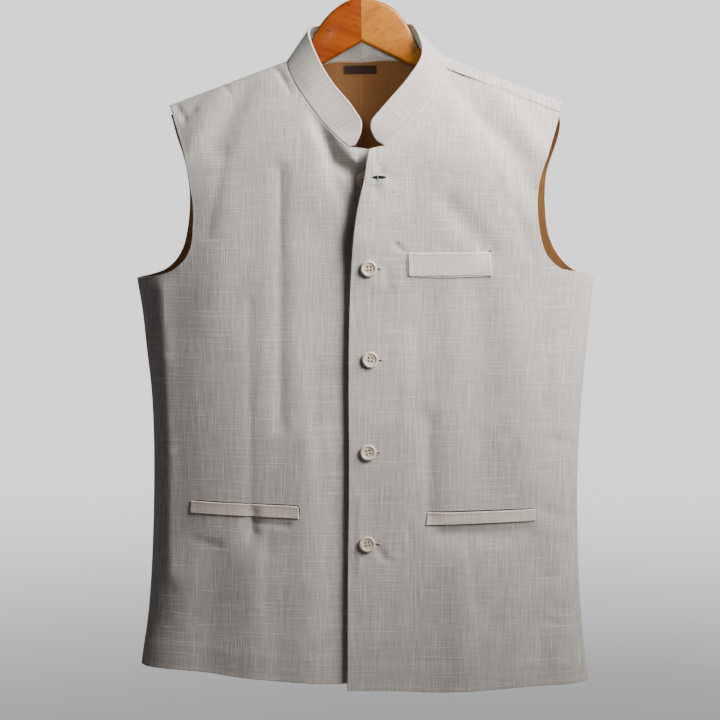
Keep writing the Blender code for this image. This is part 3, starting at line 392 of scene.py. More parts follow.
# Rounding of an arm's two ends: distance inside the joint, then distance past the tip and share left.
ARM_EDGE = 0.12
ARM_END = ((0.5, 0.8), (0.9, 0.5), (1.0, 0.2))
# Rows above the underarm at which the lining starts to draw in, and its least distance from the top.
LINING_BASE = 6
LINING_DROP = 0.012
# Close lines at a welt's edges by share; its lowered corner: start and length by share, and drop.
NEAR_WELT = np.array([0.0, 0.0008, 0.0025, 0.006, 0.012])
WELT_CORNER = (0.97, 0.03)
WELT_DROP = 2.2
# Label stitching: distance in from the sides and the ends, length of a stitch, half thickness.
LABEL_IN = 0.9
LABEL_END = 0.8
LABEL_PITCH = 2.0
LABEL_THREAD = 0.2
# Hook: angles of its circle, handle of the bend into it.
HOOK_START = -50
HOOK_END = 202
HOOK_HANDLE = 9.0

# Flat sizes of the cut pieces: width and length in metres, and area where the cut is no rectangle.
FLAT_CHEST_WELT = (0.091, 0.0255)
FLAT_LOWER_WELT = (0.122, 0.0145)

# Camera: sensor, distance and field across at it, pitch down in degrees and the point aimed at.
SENSOR = 36.0
CAMERA_DISTANCE = 2300.0
CAMERA_FIELD = 813.6
CAMERA_PITCH = 6.0
CAMERA_AIM = (-1.9, 0.0, -473.5)
FLOOR_REACH = 9.0
# Lamps: name, place, aim, size, spread in degrees, share of the power, colour.
LAMPS = (
    ("key_lamp", (0.80, -0.46, 0.32), (0.08, 0.0, -0.14), (0.85, 0.8), 76, 1.0, (1.0, 0.965, 0.92)),
    ("fill_lamp", (-1.5, -2.0, 0.1), (0.0, 0.0, -0.4), (1.4, 1.4), 180, 1.0, (0.96, 0.98, 1.0)),
    ("neck_lamp", (-0.14, -1.7, -0.04), (0.0, 0.0, -0.125), (0.12, 0.12), 8, 0.036, (1.0, 0.99, 0.97)),
    ("top_lamp", (0.3, 0.6, 1.2), (0.0, 0.0, -0.2), (1.0, 0.6), 180, 1.2, (1.0, 1.0, 1.0)),
    ("back_lamp", (0.9, 2.0, 0.5), (0.0, 0.0, -0.4), (1.0, 1.0), 180, 34.0, (1.0, 0.98, 0.96)),
)
SKY = (0.97, 0.975, 0.98, 1.0)


def smooth(at, table, column):
    """Cubic through one column of a table whose first column rises; level beyond its ends."""
    rows = np.asarray(table, float)
    xs, ys = rows[:, 0], rows[:, column]
    slope = np.gradient(ys, xs)
    at = np.asarray(at, float)
    i = np.clip(np.searchsorted(xs, at) - 1, 0, len(xs) - 2)
    span = xs[i + 1] - xs[i]
    t = np.clip((at - xs[i]) / span, 0, 1)
    start = ys[i] * (1 + 2 * t) * (1 - t) ** 2 + slope[i] * span * t * (1 - t) ** 2
    end = ys[i + 1] * t * t * (3 - 2 * t) + slope[i + 1] * span * t * t * (t - 1)
    return start + end


def step(t):
    """Smooth rise from nought to one."""
    t = np.clip(t, 0, 1)
    return t * t * (3 - 2 * t)


def unit(vectors):
    """Each vector at length one."""
    return vectors / np.linalg.norm(vectors, axis=-1, keepdims=True)


def lengths_along(path):
    """Length of a path up to each of its points."""
    return np.concatenate([[0], np.cumsum(np.linalg.norm(np.diff(path, axis=0), axis=1))])


def resampled(at, length, values):
    """Rows of three values at new lengths along a path."""
    return np.stack([np.interp(at, length, values[:, k]) for k in range(3)], 1)


def ridge(x):
    """Height of the shoulder line, rounded where the two slopes meet inside the neck."""
    left = SHOULDER_LEFT[1] + (x - SHOULDER_LEFT[0]) * SHOULDER_LEFT[2]
    right = SHOULDER_RIGHT[1] + (x - SHOULDER_RIGHT[0]) * SHOULDER_RIGHT[2]
    return (left + right) / 2 - np.sqrt(((left - right) / 2) ** 2 + NECK_ROUND ** 2)


def section(x, z, face):
    """Half width, side seam y and depth of the body at a height, on the face -1 or +1."""
    half = np.where(x < CENTRE_X, CENTRE_X - smooth(z, SECTIONS, 1), smooth(z, SECTIONS, 2) - CENTRE_X)
    vent_top = np.where(x < CENTRE_X, VENT_TOP_LEFT, VENT_TOP_RIGHT)
    vent = VENT_OPEN * step((vent_top - z) / VENT_LENGTH)
    side = smooth(z, SECTIONS, 3) + face * (SEAM / 2 + vent)
    depth = np.where(face < 0, smooth(z, SECTIONS, 4), smooth(z, SECTIONS, 5)) - vent
    return half, side, depth


def body(x, m):
    """Points and outward normals at x and m, where m is the root of the drop below the shoulder line
    over the roll: above nought on the face asked for, below nought past the shoulder line.
    The cross section is a superellipse; the shoulder rolls over with a cubic in m squared.
    """
    x, m, face = np.broadcast_arrays(np.asarray(x, float), np.asarray(m[0], float),
                                     np.asarray(m[1], float))
    face = np.where(m < 0, -face, face)
    roll = np.where(face < 0, ROLL_FRONT, ROLL_BACK)
    drop = m * m * roll
    z = ridge(x) - drop
    ridge_slope = ridge(x + 0.5) - ridge(x - 0.5)
    half, side, depth = section(x, z, face)
    above = section(x, z + 0.5, face)
    below = section(x, z - 0.5, face)
    half_slope, side_slope, depth_slope = above[0] - below[0], above[1] - below[1], above[2] - below[2]
    across = np.clip(np.abs(x - CENTRE_X) / half, 0, 1)
    left_over = 1 - across ** ROUND
    e = left_over ** (1 / ROUND)
    t = np.clip(drop / roll, 0, 1)
    r = np.sqrt(t + t * t - t ** 3)
    roll_slope = (1 + 2 * t - 3 * t * t) / 2 / roll
    y = side + face * depth * e * r
    k = e ** (ROUND - 1) * r
    sign = np.sign(x - CENTRE_X)
    nx = depth * (sign * across ** (ROUND - 1) / half * r * r - left_over * roll_slope * ridge_slope)
    ny = face * k
    nz = (-face * side_slope * k - depth_slope * e * r * k
          - depth * across ** ROUND * half_slope / half * r * r + depth * left_over * roll_slope)
    return np.stack([x, y, z], -1), unit(np.stack([nx, ny, nz], -1))


def root_drop(x, z, face):
    """m for a point given by x and z."""
    roll = ROLL_FRONT if face < 0 else ROLL_BACK
    return np.sqrt(np.maximum(ridge(np.asarray(x, float)) - z, 0) / roll)


def spaced(points, face, shares):
    """Points along an edge at shares of its length, in x and m, measured on the body."""
    rows = np.asarray(points, float)
    x, m = rows[:, 0], rows[:, 1]
    count = np.concatenate([[0], np.cumsum(np.hypot(np.diff(x), ROOT_LENGTH * np.diff(m)))])
    table = np.stack([count, x, m], 1)
    fine = np.linspace(0, count[-1], EDGE_SAMPLES)
    fx, fm = smooth(fine, table, 1), smooth(fine, table, 2)
    place = body(fx, (fm, face))[0]
    length = lengths_along(place)
    at = np.interp(np.asarray(shares) * length[-1], length, fine)
    return np.stack([smooth(at, table, 1), smooth(at, table, 2)], 1)


def edge_from_z(table, face):
    """An edge table of x, z as x, m."""
    rows = np.asarray(table, float)
    return np.stack([rows[:, 0], root_drop(rows[:, 0], rows[:, 1], face)], 1)


def creased(x, z, m, table, fade):
    """Sum of creases: each is a bell across its own line, in millimetres, and fades at the
    side seams and over the shoulder."""
    total = np.zeros_like(x)
    for x0, z0, x1, z1, width, height in table:
        dx, dz = x1 - x0, z1 - z0
        t = np.clip(((x - x0) * dx + (z - z0) * dz) / (dx * dx + dz * dz), 0, 1)
        away = (x - x0 - t * dx) ** 2 + (z - z0 - t * dz) ** 2
        total += height * np.exp(-away / width ** 2)
    half = section(x, z, np.full_like(x, -1.0))[0]
    across = np.clip(np.abs(x - CENTRE_X) / half, 0, 1)
    return total * (1 - across ** 10) * step(np.maximum(m, 0) / fade)


def panel_surface(x, m, panel):
    """Points and normals of a panel: the body's form with the panel's broad folds, small creases and
    the slight steps where its hem and facing double the cloth."""
    x, m = np.broadcast_arrays(np.asarray(x, float), np.asarray(m, float))
    point, normal = body(x, (m, panel["face"]))
    z = point[..., 2]
    lift = (creased(x, z, m, panel["folds"], FOLD_FADE)
            + creased(x, z, m, panel["creases"], CREASE_FADE))
    ordered = np.asarray(sorted(panel["hem"]), float)
    above_hem = z - smooth(x, ordered, 1)
    lift = lift + HEM_STEP * step((HEM_DEPTH - above_hem) / STEP_WIDTH + 0.5)
    if panel["facing"]:
        inside = step((panel["facing"] - x) / STEP_WIDTH + 0.5)
        lift = lift + FACING_STEP * inside * step((m - FACING_TOP) / FACING_FADE)
    return point + normal * lift[..., None], normal


def fine_rows(spans, near_start, near_end):
    """Row numbers between a coarse grid's rows: steps a row for each span, and the rows that round off
    the cloth at both ends."""
    start, rows = 0, [near_start]
    for length, per in spans:
        rows.append(start + np.arange(length * per + 1) / per)
        start += length
    rows.append(start - np.asarray(near_end))
    return np.unique(np.concatenate(rows))


def panel_rows(row, col, inner, outer, columns, hem, face, count, top=None):
    """Grid of x, m between two edges: narrow columns at the side seams below the arms, even ones above.
    Rows are level below and follow the shoulder line above; the lowest take the hem's shape and the
    highest the top edge's."""
    row = row[:, None]
    low = np.interp(col, np.arange(len(columns)), columns)[None, :]
    even = (col / (len(columns) - 1) if top is None else top[2])[None, :]
    blend = step((row - LOW_ROWS) / BLEND_ROWS)
    u = low * (1 - blend) + even * blend
    x = inner[:, :1] + (outer[:, :1] - inner[:, :1]) * u
    rolled = inner[:, 1:] + (outer[:, 1:] - inner[:, 1:]) * u
    roll = ROLL_FRONT if face < 0 else ROLL_BACK
    inner_z = ridge(inner[:, 0]) - roll * inner[:, 1] ** 2
    outer_z = ridge(outer[:, 0]) - roll * outer[:, 1] ** 2
    level = root_drop(x, inner_z[:, None] + (outer_z - inner_z)[:, None] * u, face)
    high = step((row - LOW_ROWS) / (count - 1 - LOW_ROWS))
    m = level * (1 - high) + rolled * high
    hem_z = smooth(x[0], np.asarray(sorted(hem), float), 1)
    m = m + (root_drop(x[0], hem_z, face) - m[0])[None, :] * np.clip(1 - row / LOW_ROWS, 0, 1) ** 2
    if top is not None:
        pull = np.clip((row - LOW_ROWS) / (count - 1 - LOW_ROWS), 0, 1) ** 2
        x = x + (top[0] - x[-1])[None, :] * pull
        m = m + (top[1] - m[-1])[None, :] * pull
    return x, m


def between(row, first, values):
    """Values at row numbers, from values at whole rows that start at first."""
    return np.interp(row, first + np.arange(len(values)), values)


def front_flat(panel):
    """Rows of one front in x, m: centre edge and neckline on the inner side, side seam and armhole on
    the outer side."""
    row, col = FRONT_ROWS_FINE, FRONT_COLUMNS_FINE
    edge, neck, arm, hem = panel["edge"], panel["neck"], panel["arm"], panel["hem"]
    corner = LOW_ROWS + MID_ROWS
    count = corner + 1 + len(TOP_STEPS)
    low_z = np.linspace(hem[0][1], UNDERARM_INNER_Z, LOW_ROWS + 1)
    mid_z = np.linspace(UNDERARM_INNER_Z, edge[-1][1], MID_ROWS + 1)
    inner_z = between(row, 0, np.concatenate([low_z[:-1], mid_z]))
    inner_x = smooth(inner_z, [(z, x) for x, z in edge], 1)
    centre = np.stack([inner_x, root_drop(inner_x, inner_z, -1)], 1)
    lengths = np.linalg.norm(np.diff(np.asarray(neck, float), axis=0), axis=1)
    start = lengths[0] / np.sum(lengths)
    neck_rows, arm_rows = edge_from_z(neck, -1), edge_from_z(arm, -1)
    neck_rows[-1, 1] = arm_rows[-1, 1] = panel["seam_m"]
    top_steps = start + (1 - start) * np.asarray(TOP_STEPS)
    along_neck = spaced(neck_rows, -1, between(row, corner + 1, top_steps))
    reach = np.clip(row - corner, 0, 1)[:, None]
    inner = centre * (1 - reach) + along_neck * reach
    shares = np.concatenate([np.linspace(0, MID_SHARE, MID_ROWS + 1)[:-1],
                             MID_SHARE + (1 - MID_SHARE) * np.asarray(TOP_STEPS)])
    middle = (shares[MID_ROWS] + shares[MID_ROWS + 1]) / 2
    arm_shares = np.concatenate([shares[:MID_ROWS + 1], [middle], shares[MID_ROWS + 1:]])
    side_z = between(row, 0, np.linspace(hem[-1][1], arm[0][1], LOW_ROWS + 1))
    side_x = smooth(side_z, SECTIONS, panel["side"])
    side = np.stack([side_x, root_drop(side_x, side_z, -1)], 1)
    along_arm = spaced(arm_rows, -1, between(row, LOW_ROWS, arm_shares))
    outer = np.where(row[:, None] < LOW_ROWS, side, along_arm)
    return panel_rows(row, col, inner, outer, FRONT_COLUMNS, hem, -1, count)


def back_flat():
    """Rows of the back in x, m: side seams and armholes at both sides, shoulders and neckline on top."""
    row, col = BACK_ROWS_FINE, BACK_COLUMNS_FINE
    count = LOW_ROWS + BACK_MID_ROWS + len(BACK_TOP_STEPS)
    shares = np.concatenate([np.linspace(0, BACK_SHARE, BACK_MID_ROWS + 1)[:-1],
                             BACK_SHARE + (1 - BACK_SHARE) * np.asarray(BACK_TOP_STEPS)])
    edges = []
    for table, column, end in ((BACK_ARM_LEFT, 1, ()), (BACK_ARM_RIGHT, 2, ((SHOULDER_TIP_RIGHT, -WRAP),))):
        arm = edge_from_z(table, 1)
        arm[-1, 1] = 0.0
        arm = np.concatenate([arm, np.reshape(end, (-1, 2))])
        hem_z = HEM_BACK[0][1] if column == 1 else HEM_BACK[-1][1]
        z = between(row, 0, np.linspace(hem_z, table[0][1], LOW_ROWS + 1))
        x = smooth(z, SECTIONS, column)
        side = np.stack([x, root_drop(x, z, 1)], 1)
        along_arm = spaced(arm, 1, between(row, LOW_ROWS, shares))
        edges.append(np.where(row[:, None] < LOW_ROWS, side, along_arm))
    n, last = BACK_SHOULDER_COLUMNS, len(BACK_COLUMNS) - 1
    neck = spaced(BACK_NECK, 1, between(col, n, NECK_SHARES))
    left_end, right_end = np.array([SHOULDER_TIP_LEFT, 0.0]), np.array([SHOULDER_TIP_RIGHT, -WRAP])
    left_share = np.clip(col / n, 0, 1)[:, None]
    right_share = np.clip((last - col) / n, 0, 1)[:, None]
    left = left_end + (np.array(BACK_NECK[0]) - left_end) * left_share
    right = right_end + (np.array(BACK_NECK[-1]) - right_end) * right_share
    top = np.where(col[:, None] < n, left, np.where(col[:, None] > last - n, right, neck))
    coarse = np.interp(np.arange(last + 1), col, top[:, 0])
    even = (np.interp(col, np.arange(last + 1), coarse) - top[0, 0]) / (top[-1, 0] - top[0, 0])
    return panel_rows(row, col, edges[0], edges[1], BACK_COLUMNS, HEM_BACK, 1, count,
                      (top[:, 0], top[:, 1], even))


def weave_lengths(x, m, face):
    """Where each point lies on the flat cloth, in metres: across, the length round the body's section
    from its centre, and up the grain, the height and part of what the roll over the shoulder adds."""
    x, m = np.broadcast_arrays(x, m)
    z = body(x, (m, face))[0][..., 2]
    half, _, depth = section(x, z, np.full_like(x, face))
    wide, deep = np.median(half), np.median(depth)
    share = 1 - np.linspace(1, 0, ARC_STEPS) ** ROUND
    arc = np.hypot(np.diff(share) * wide, np.diff((1 - share ** ROUND) ** (1 / ROUND)) * deep)
    arc = np.concatenate([[0], np.cumsum(arc)]) / wide
    across = half * np.interp(np.abs(x - CENTRE_X) / half, share, arc)
    shoulder = np.exp(-(m / WEAVE_ROLL) ** 2) * deep
    return (CENTRE_X + np.sign(x - CENTRE_X) * across) * MM, (z + WEAVE_RISE * shoulder) * MM


def border_lengths(grid):
    """Distances of each point of a grid from its first and last column and its first and last row."""
    across = np.linalg.norm(np.diff(grid, axis=1), axis=-1)
    along = np.linalg.norm(np.diff(grid, axis=0), axis=-1)
    first = np.concatenate([np.zeros_like(grid[:, :1, 0]), np.cumsum(across, axis=1)], axis=1)
    low = np.concatenate([np.zeros_like(grid[:1, :, 0]), np.cumsum(along, axis=0)], axis=0)
    return first, first[:, -1:] - first, low, low[-1:] - low


def add_piece(name, finish, points, faces, replaces=(), fields=None):
    """Mesh object of points in metres and faces, smooth, riding on the body, with its fields of values."""
    mesh = bpy.data.meshes.new(name)
    mesh.from_pydata(points.tolist(), [], faces.tolist() if isinstance(faces, np.ndarray) else faces)
    for field, values in (fields or {}).items():
        values = np.asarray(values, float)
        vector = values.ndim == 2
        made = mesh.attributes.new(field, "FLOAT_VECTOR" if vector else "FLOAT", "POINT")
        made.data.foreach_set("vector" if vector else "value", values.ravel())
    mesh.polygons.foreach_set("use_smooth", np.ones(len(mesh.polygons), bool))
    mesh.materials.append(finish)
    mesh.update()
    piece = bpy.data.objects.new(name, mesh)
    bpy.context.scene.collection.objects.link(piece)
    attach(piece, "root")
    if replaces:
        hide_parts(*replaces)
    return piece


def add_shapes(name, finish, shapes):
    """One piece out of several shapes in millimetres."""
    points, faces = join_shapes(shapes)
    return add_piece(name, finish, points * MM, faces)


def grid_faces(index, wrap_rows=False, wrap_columns=False):
    """Quads of a grid of point numbers, turned to face along columns cross rows."""
    if wrap_rows:
        index = np.concatenate([index, index[:1]])
    if wrap_columns:
        index = np.concatenate([index, index[:, :1]], axis=1)
    a, b, c, d = index[:-1, :-1], index[:-1, 1:], index[1:, 1:], index[1:, :-1]
    return np.stack([a, b, c, d], -1).reshape(-1, 4)


def cloth_piece(name, finish, outer, normal, thick, lengths, replaces=(), lined=None, rim=0.0):
    """Cloth of one thickness with round edges: both faces lie half the thickness times the height of a
    quarter circle off the middle, and meet at the border. The rim is how far the edge swells."""
    first, last, low, high = border_lengths(outer)
    side = np.clip(1 - np.minimum(first, last) / (thick / 2), 0, 1)
    end = np.clip(1 - np.minimum(low, high) / (thick / 2), 0, 1)
    height = np.sqrt(np.clip(1 - side ** 2 - end ** 2, 0, 1))
    edge = np.minimum(np.minimum(first, last), np.minimum(low, high))
    swell = rim * np.exp(-(edge / RIM_WIDTH) ** 2) * height
    middle = outer - normal * thick / 2
    half = (height * thick / 2 + swell)[..., None] * normal
    upper, under = middle + half, middle - half
    rows, columns = edge.shape
    front = np.arange(rows * columns).reshape(rows, columns)
    back = front.copy()
    back[1:-1, 1:-1] = rows * columns + np.arange((rows - 2) * (columns - 2)).reshape(rows - 2, -1)
    points = np.concatenate([upper.reshape(-1, 3), under[1:-1, 1:-1].reshape(-1, 3)]) * MM
    faces = np.concatenate([grid_faces(front), grid_faces(back)[:, ::-1]])
    if np.dot(np.cross(upper[1, 1] - upper[1, 0], upper[2, 1] - upper[1, 1]), normal[1, 1]) < 0:
        faces = faces[:, ::-1]

    def both(values):
        shape = (-1,) + values.shape[2:]
        return np.concatenate([values.reshape(shape), values[1:-1, 1:-1].reshape(shape)])

    weave = both(np.stack([lengths[0], lengths[1], np.zeros_like(edge)], -1))
    inside = both(np.zeros_like(edge))
    if lined is not None:
        inside[rows * columns:] = lined[1:-1, 1:-1].ravel()
    return add_piece(name, finish, points, faces, replaces,
                     {"cloth": weave, "edge": both(edge) * MM, "inside": inside})


def tube(path, across, up, half_width, half_height, sides=8):
    """Points and faces of a closed tube along a path: an ellipse across it, its two ends drawn to a
    point. Sizes are numbers or one for each place on the path."""
    turn = np.arange(sides) * 2 * np.pi / sides
    wide = np.broadcast_to(half_width, len(path))[:, None, None]
    tall = np.broadcast_to(half_height, len(path))[:, None, None]
    ring = (path[:, None] + across[:, None] * wide * np.cos(turn)[None, :, None]
            + up[:, None] * tall * np.sin(turn)[None, :, None])
    count = len(path)
    points = np.concatenate([ring.reshape(-1, 3), path[:1], path[-1:]])
    index = np.arange(count * sides).reshape(count, sides)
    quads = grid_faces(index, wrap_columns=True)
    start, stop = index[0], index[-1]
    caps = np.concatenate([
        np.stack([np.full(sides, count * sides), np.roll(start, -1), start, start], 1),
        np.stack([np.full(sides, count * sides + 1), stop, np.roll(stop, -1), np.roll(stop, -1)], 1)])
    faces = [list(face) for face in quads] + [list(face[:3]) for face in caps]
    along = path[-1] - path[0] if np.linalg.norm(path[-1] - path[0]) > 1e-9 else path[1] - path[0]
    if np.dot(np.cross(across[0], up[0]), along) < 0:
        faces = [face[::-1] for face in faces]
    return points, faces


def join_shapes(shapes):
    """One list of points and one of faces out of several."""
    points, faces, first = [], [], 0
    for some, sides in shapes:
        points.append(some)
        faces.extend([[number + first for number in face] for face in sides])
        first += len(some)
    return np.concatenate(points), faces


def on_front(panel, x, z, lift):
    """Points on a front at x and z, lifted off it, and its normals there."""
    x, z = np.broadcast_arrays(np.asarray(x, float), np.asarray(z, float))
    point, normal = panel_surface(x, root_drop(x, z, -1), panel)
    return point + normal * np.broadcast_to(lift, x.shape)[..., None], normal


def frame_along(path, normal):
    """Unit vectors across and up a path that lies on a face."""
    along = unit(np.gradient(path, axis=0))
    across = unit(np.cross(along, normal))
    return across, np.cross(across, along)


def stitch_row(path, normal, pitch, radius):
    """Thread along a path: between stitches it dips under the cloth, its height a raised cosine wave."""
    length = lengths_along(path)
    count = max(int(length[-1] / pitch), 1) * STITCH_STEPS
    at = np.linspace(0, length[-1], count + 1)
    place, face = resampled(at, length, path), unit(resampled(at, length, normal))
    wave = np.cos(np.arange(count + 1) * 2 * np.pi / STITCH_STEPS)
    place = place + face * (radius * (STITCH_RISE - STITCH_DIP * np.maximum(wave, 0)))[:, None]
    across, up = frame_along(place, face)
    return tube(place, across, up, radius, radius, 6)


FRONT_ROWS_FINE = fine_rows(FRONT_SPANS, NEAR_HEM, NEAR_SHOULDER)
BACK_ROWS_FINE = fine_rows(BACK_SPANS, NEAR_HEM, NEAR_SHOULDER)
FRONT_COLUMNS_FINE = fine_rows(((len(FRONT_COLUMNS) - 1, 6),), NEAR_CENTRE, NEAR_SIDE)
BACK_COLUMNS_FINE = fine_rows(((len(BACK_COLUMNS) - 1, 6),), NEAR_SIDE, NEAR_SIDE)

# Panels: face of the body, tables, the facing's inner edge, column of SECTIONS and m at the shoulder.
OVER = {"face": -1.0, "folds": FOLDS_OVER + LIFT_OVER, "creases": CREASES_OVER, "hem": HEM_OVER,
        "facing": 52.0, "edge": OVER_EDGE, "neck": OVER_NECK, "arm": OVER_ARM, "side": 2,
        "seam_m": WRAP + SEAM_M}
UNDER = {"face": -1.0, "folds": FOLDS_UNDER, "creases": CREASES_UNDER, "hem": HEM_UNDER,
         "facing": None, "edge": UNDER_EDGE, "neck": UNDER_NECK, "arm": UNDER_ARM, "side": 1,
         "seam_m": 0.0}
BEHIND = {"face": 1.0, "folds": FOLDS_BACK, "creases": CREASES_BACK, "hem": HEM_BACK, "facing": None}
PANELS = {"over": OVER, "under": UNDER}


def lining_surface(x, m):
    """The lining's face towards the back: the back's own points moved in by a gap that eases open near
    the shoulders and underarms, with soft puckers."""
    point, normal = panel_surface(x, m, BEHIND)
    z = point[..., 2]
    under_arm = np.exp(-((z - UNDER_ARM[0][1]) / UNDERARM_EASE) ** 2)
    gap = CLOTH + LINING_GAP + LINING_EASE * step((EASE_START - m) / EASE_LENGTH) + under_arm
    close, wander, slow, tall, wide = PUCKER_WAVES
    pucker = PUCKER * np.sin(x / close + wander * np.sin(z / slow)) * np.sin(z / tall + x / wide)
    return point - normal * (gap + PUCKER + pucker)[..., None], normal


def collar_bands(under, over, back):
    """Outer grid of the band and its normals: straight lines from the neckline's points up to the top
    edge's table, turning from the neckline's normal to the band's own above the seam."""
    start = np.searchsorted(FRONT_ROWS_FINE, LOW_ROWS + MID_ROWS + 1)
    front = slice(start, -len(NEAR_SHOULDER), 2)
    first = np.searchsorted(BACK_COLUMNS_FINE, BACK_SHOULDER_COLUMNS)
    last = np.searchsorted(BACK_COLUMNS_FINE, len(BACK_COLUMNS) - 1 - BACK_SHOULDER_COLUMNS)
    behind = slice(first, last + 1, 2)
    feet = [under[0][front, 0], back[0][-1, behind], over[0][front, 0][::-1]]
    normals = [under[1][front, 0], back[1][-1, behind], over[1][front, 0][::-1]]
    places = []
    for index, foot in enumerate(feet):
        length = lengths_along(foot)
        lead = np.linalg.norm(foot[0] - feet[0][-1]) if index == 1 else 0.0
        tail = np.linalg.norm(feet[2][0] - foot[-1]) if index == 1 else 0.0
        places.append(index + (lead + length) / (lead + length[-1] + tail))
    foot, normal, place = np.concatenate(feet), np.concatenate(normals), np.concatenate(places)
    run = lengths_along(foot)
    at = np.linspace(0, run[-1], COLLAR_COLUMNS)
    at = np.unique(np.concatenate([at, NEAR_COLLAR, run[-1] - NEAR_COLLAR]))
    foot, normal = resampled(at, run, foot), resampled(at, run, normal)
    place = np.interp(at, run, place)
    out = np.array(NECK_AXIS) - foot * (1, 1, 0)
    along = unit(np.gradient(foot, axis=0))
    edge = np.cross(normal, along)
    edge = unit(edge * np.sign(np.sum(edge * out, axis=1))[:, None])
    top = np.stack([smooth(place, COLLAR_TOP, column) for column in (1, 2, 3)], 1)
    base = foot + edge * COLLAR_SEAM + normal * (BAND - CLOTH) / 2
    middle_base = base - normal * BAND / 2
    rise = top - middle_base
    face = unit(np.cross(along, rise))
    face *= np.sign(np.sum(face * normal, axis=1))[:, None]
    height = np.linalg.norm(rise, axis=1)
    share = COLLAR_SHARES[:, None]
    blend = step(share / COLLAR_TURN)[..., None]
    across = unit(normal * (1 - blend) + face * blend)
    middle = middle_base + rise * share[..., None]
    dent = sum(depth * np.exp(-((run_at - at) / width) ** 2 - ((share - level) / DENT_SHARE) ** 2)
               for run_at, level, width, depth in COLLAR_DENTS)
    outer = middle + across * (BAND / 2 + dent)[..., None]
    return outer, across, at, height


def collar_line(outer, height, inset):
    """Points of the band a given length below its top edge."""
    at = np.clip(1 - inset / np.maximum(height, inset), 0, 1)
    shares = COLLAR_SHARES
    row = np.clip(np.searchsorted(shares, at) - 1, 0, len(shares) - 2)
    t = ((at - shares[row]) / (shares[row + 1] - shares[row]))[:, None]
    column = np.arange(outer.shape[1])
    return outer[row, column] * (1 - t) + outer[row + 1, column] * t


def patch_grid(corners, columns, rows, round_corner=0.0):
    """x, z of a welt between its four corners, one upper corner drawn down by a quadratic."""
    low_left, low_right, high_right, high_left = (np.array(corner, float) for corner in corners)
    u = np.unique(np.concatenate([np.linspace(0, 1, columns), NEAR_WELT, 1 - NEAR_WELT]))[None, :, None]
    near = NEAR_WELT * np.linalg.norm(low_right - low_left) / np.linalg.norm(high_left - low_left)
    v = np.unique(np.concatenate([np.linspace(0, 1, rows), near, 1 - near]))[:, None, None]
    place = (low_left * (1 - u) + low_right * u) * (1 - v) + (high_left * (1 - u) + high_right * u) * v
    start, length = WELT_CORNER
    place[..., 1] -= round_corner * (v * np.clip((u - start) / length, 0, 1) ** 2)[..., 0]
    return place[..., 0], place[..., 1]


def upright(up):
    """Level and rising unit vectors of the plane that a button lies in."""
    right = -unit(np.cross(up, (0.0, 0.0, 1.0)))
    return right, np.cross(up, right)


def button_shape(seat, normal, turn):
    """Button: a turned profile with four wells. Its face is the profile's height at each radius less a
    steep bell at each eye; the back is flat. Also gives the flat place and depth of each point."""
    spin = np.arange(BUTTON_SIDES) * 2 * np.pi / BUTTON_SIDES
    radius = np.concatenate([np.linspace(*rings) for rings in BUTTON_RINGS])
    rise = smooth(radius, BUTTON_FACE, 1)[:, None]
    x, y = radius[:, None] * np.cos(spin), radius[:, None] * np.sin(spin)
    wells = np.zeros_like(x)
    for k in range(4):
        eye = turn + math.pi / 4 + k * math.pi / 2
        away = np.hypot(x - EYE_SPREAD * math.cos(eye), y - EYE_SPREAD * math.sin(eye))
        wells += step((EYE_RADIUS + EYE_SLOPE - away) / (2 * EYE_SLOPE))
    z = rise - EYE_DEPTH * wells
    back_radius, back_rise = BUTTON_BACK[:, :1], BUTTON_BACK[:, 1:]
    x = np.concatenate([x, back_radius * np.cos(spin)])
    y = np.concatenate([y, back_radius * np.sin(spin)])
    z = np.concatenate([z, np.repeat(back_rise, BUTTON_SIDES, 1)])
    depth = np.concatenate([-EYE_DEPTH * wells, np.zeros((len(BUTTON_BACK), BUTTON_SIDES))])
    up = unit(normal)
    right, top = upright(up)
    points = seat + x[..., None] * right + y[..., None] * top + z[..., None] * up
    index = np.arange(x.size).reshape(x.shape)
    faces = [list(face) for face in grid_faces(index, wrap_columns=True)]
    faces.append(list(index[0]))
    faces.append(list(index[-1][::-1]))
    if np.dot(np.cross(right, top), up) > 0:
        faces = [face[::-1] for face in faces]
    flat = np.stack([x, y, z], -1).reshape(-1, 3) * MM
    return points.reshape(-1, 3), [face[::-1] for face in faces], flat, depth.reshape(-1) * MM


def button_seat(panel, x, z):
    """Middle of a button's back and the normal of the cloth it lies on, clear of the cloth round it."""
    dx, dz = np.array([-1, 1, 1, -1, 0]) * BUTTON_FOOT, np.array([-1, -1, 1, 1, 0]) * BUTTON_FOOT
    around = on_front(panel, x + dx, z + dz, 0.0)[0]
    up = unit(np.cross(around[2] - around[0], around[3] - around[1]))
    up = -up if up[1] > 0 else up
    high = max(float(np.dot(corner - around[4], up)) for corner in around)
    return around[4] + up * (BUTTON_LIFT + high), up


def button_threads(seat, up, turn):
    """Sewing through the eyes: two thick strands, each a half ring from eye to eye across the button."""
    right, top = upright(up)
    shapes = []
    for k in range(2):
        first = turn + math.pi / 4 + k * math.pi / 2
        bend = np.linspace(0, np.pi, 13)
        reach = EYE_SPREAD * (right * math.cos(first) + top * math.sin(first))
        path = (seat + reach * THREAD_REACH * np.cos(bend)[:, None]
                + up * (THREAD_FOOT + THREAD_RISE * np.sin(bend) + THREAD_OVER * k)[:, None])
        across, over = frame_along(path, np.repeat(up[None], len(path), 0))
        shapes.append(tube(path, across, over, *THREAD_SIZE))
    return shapes


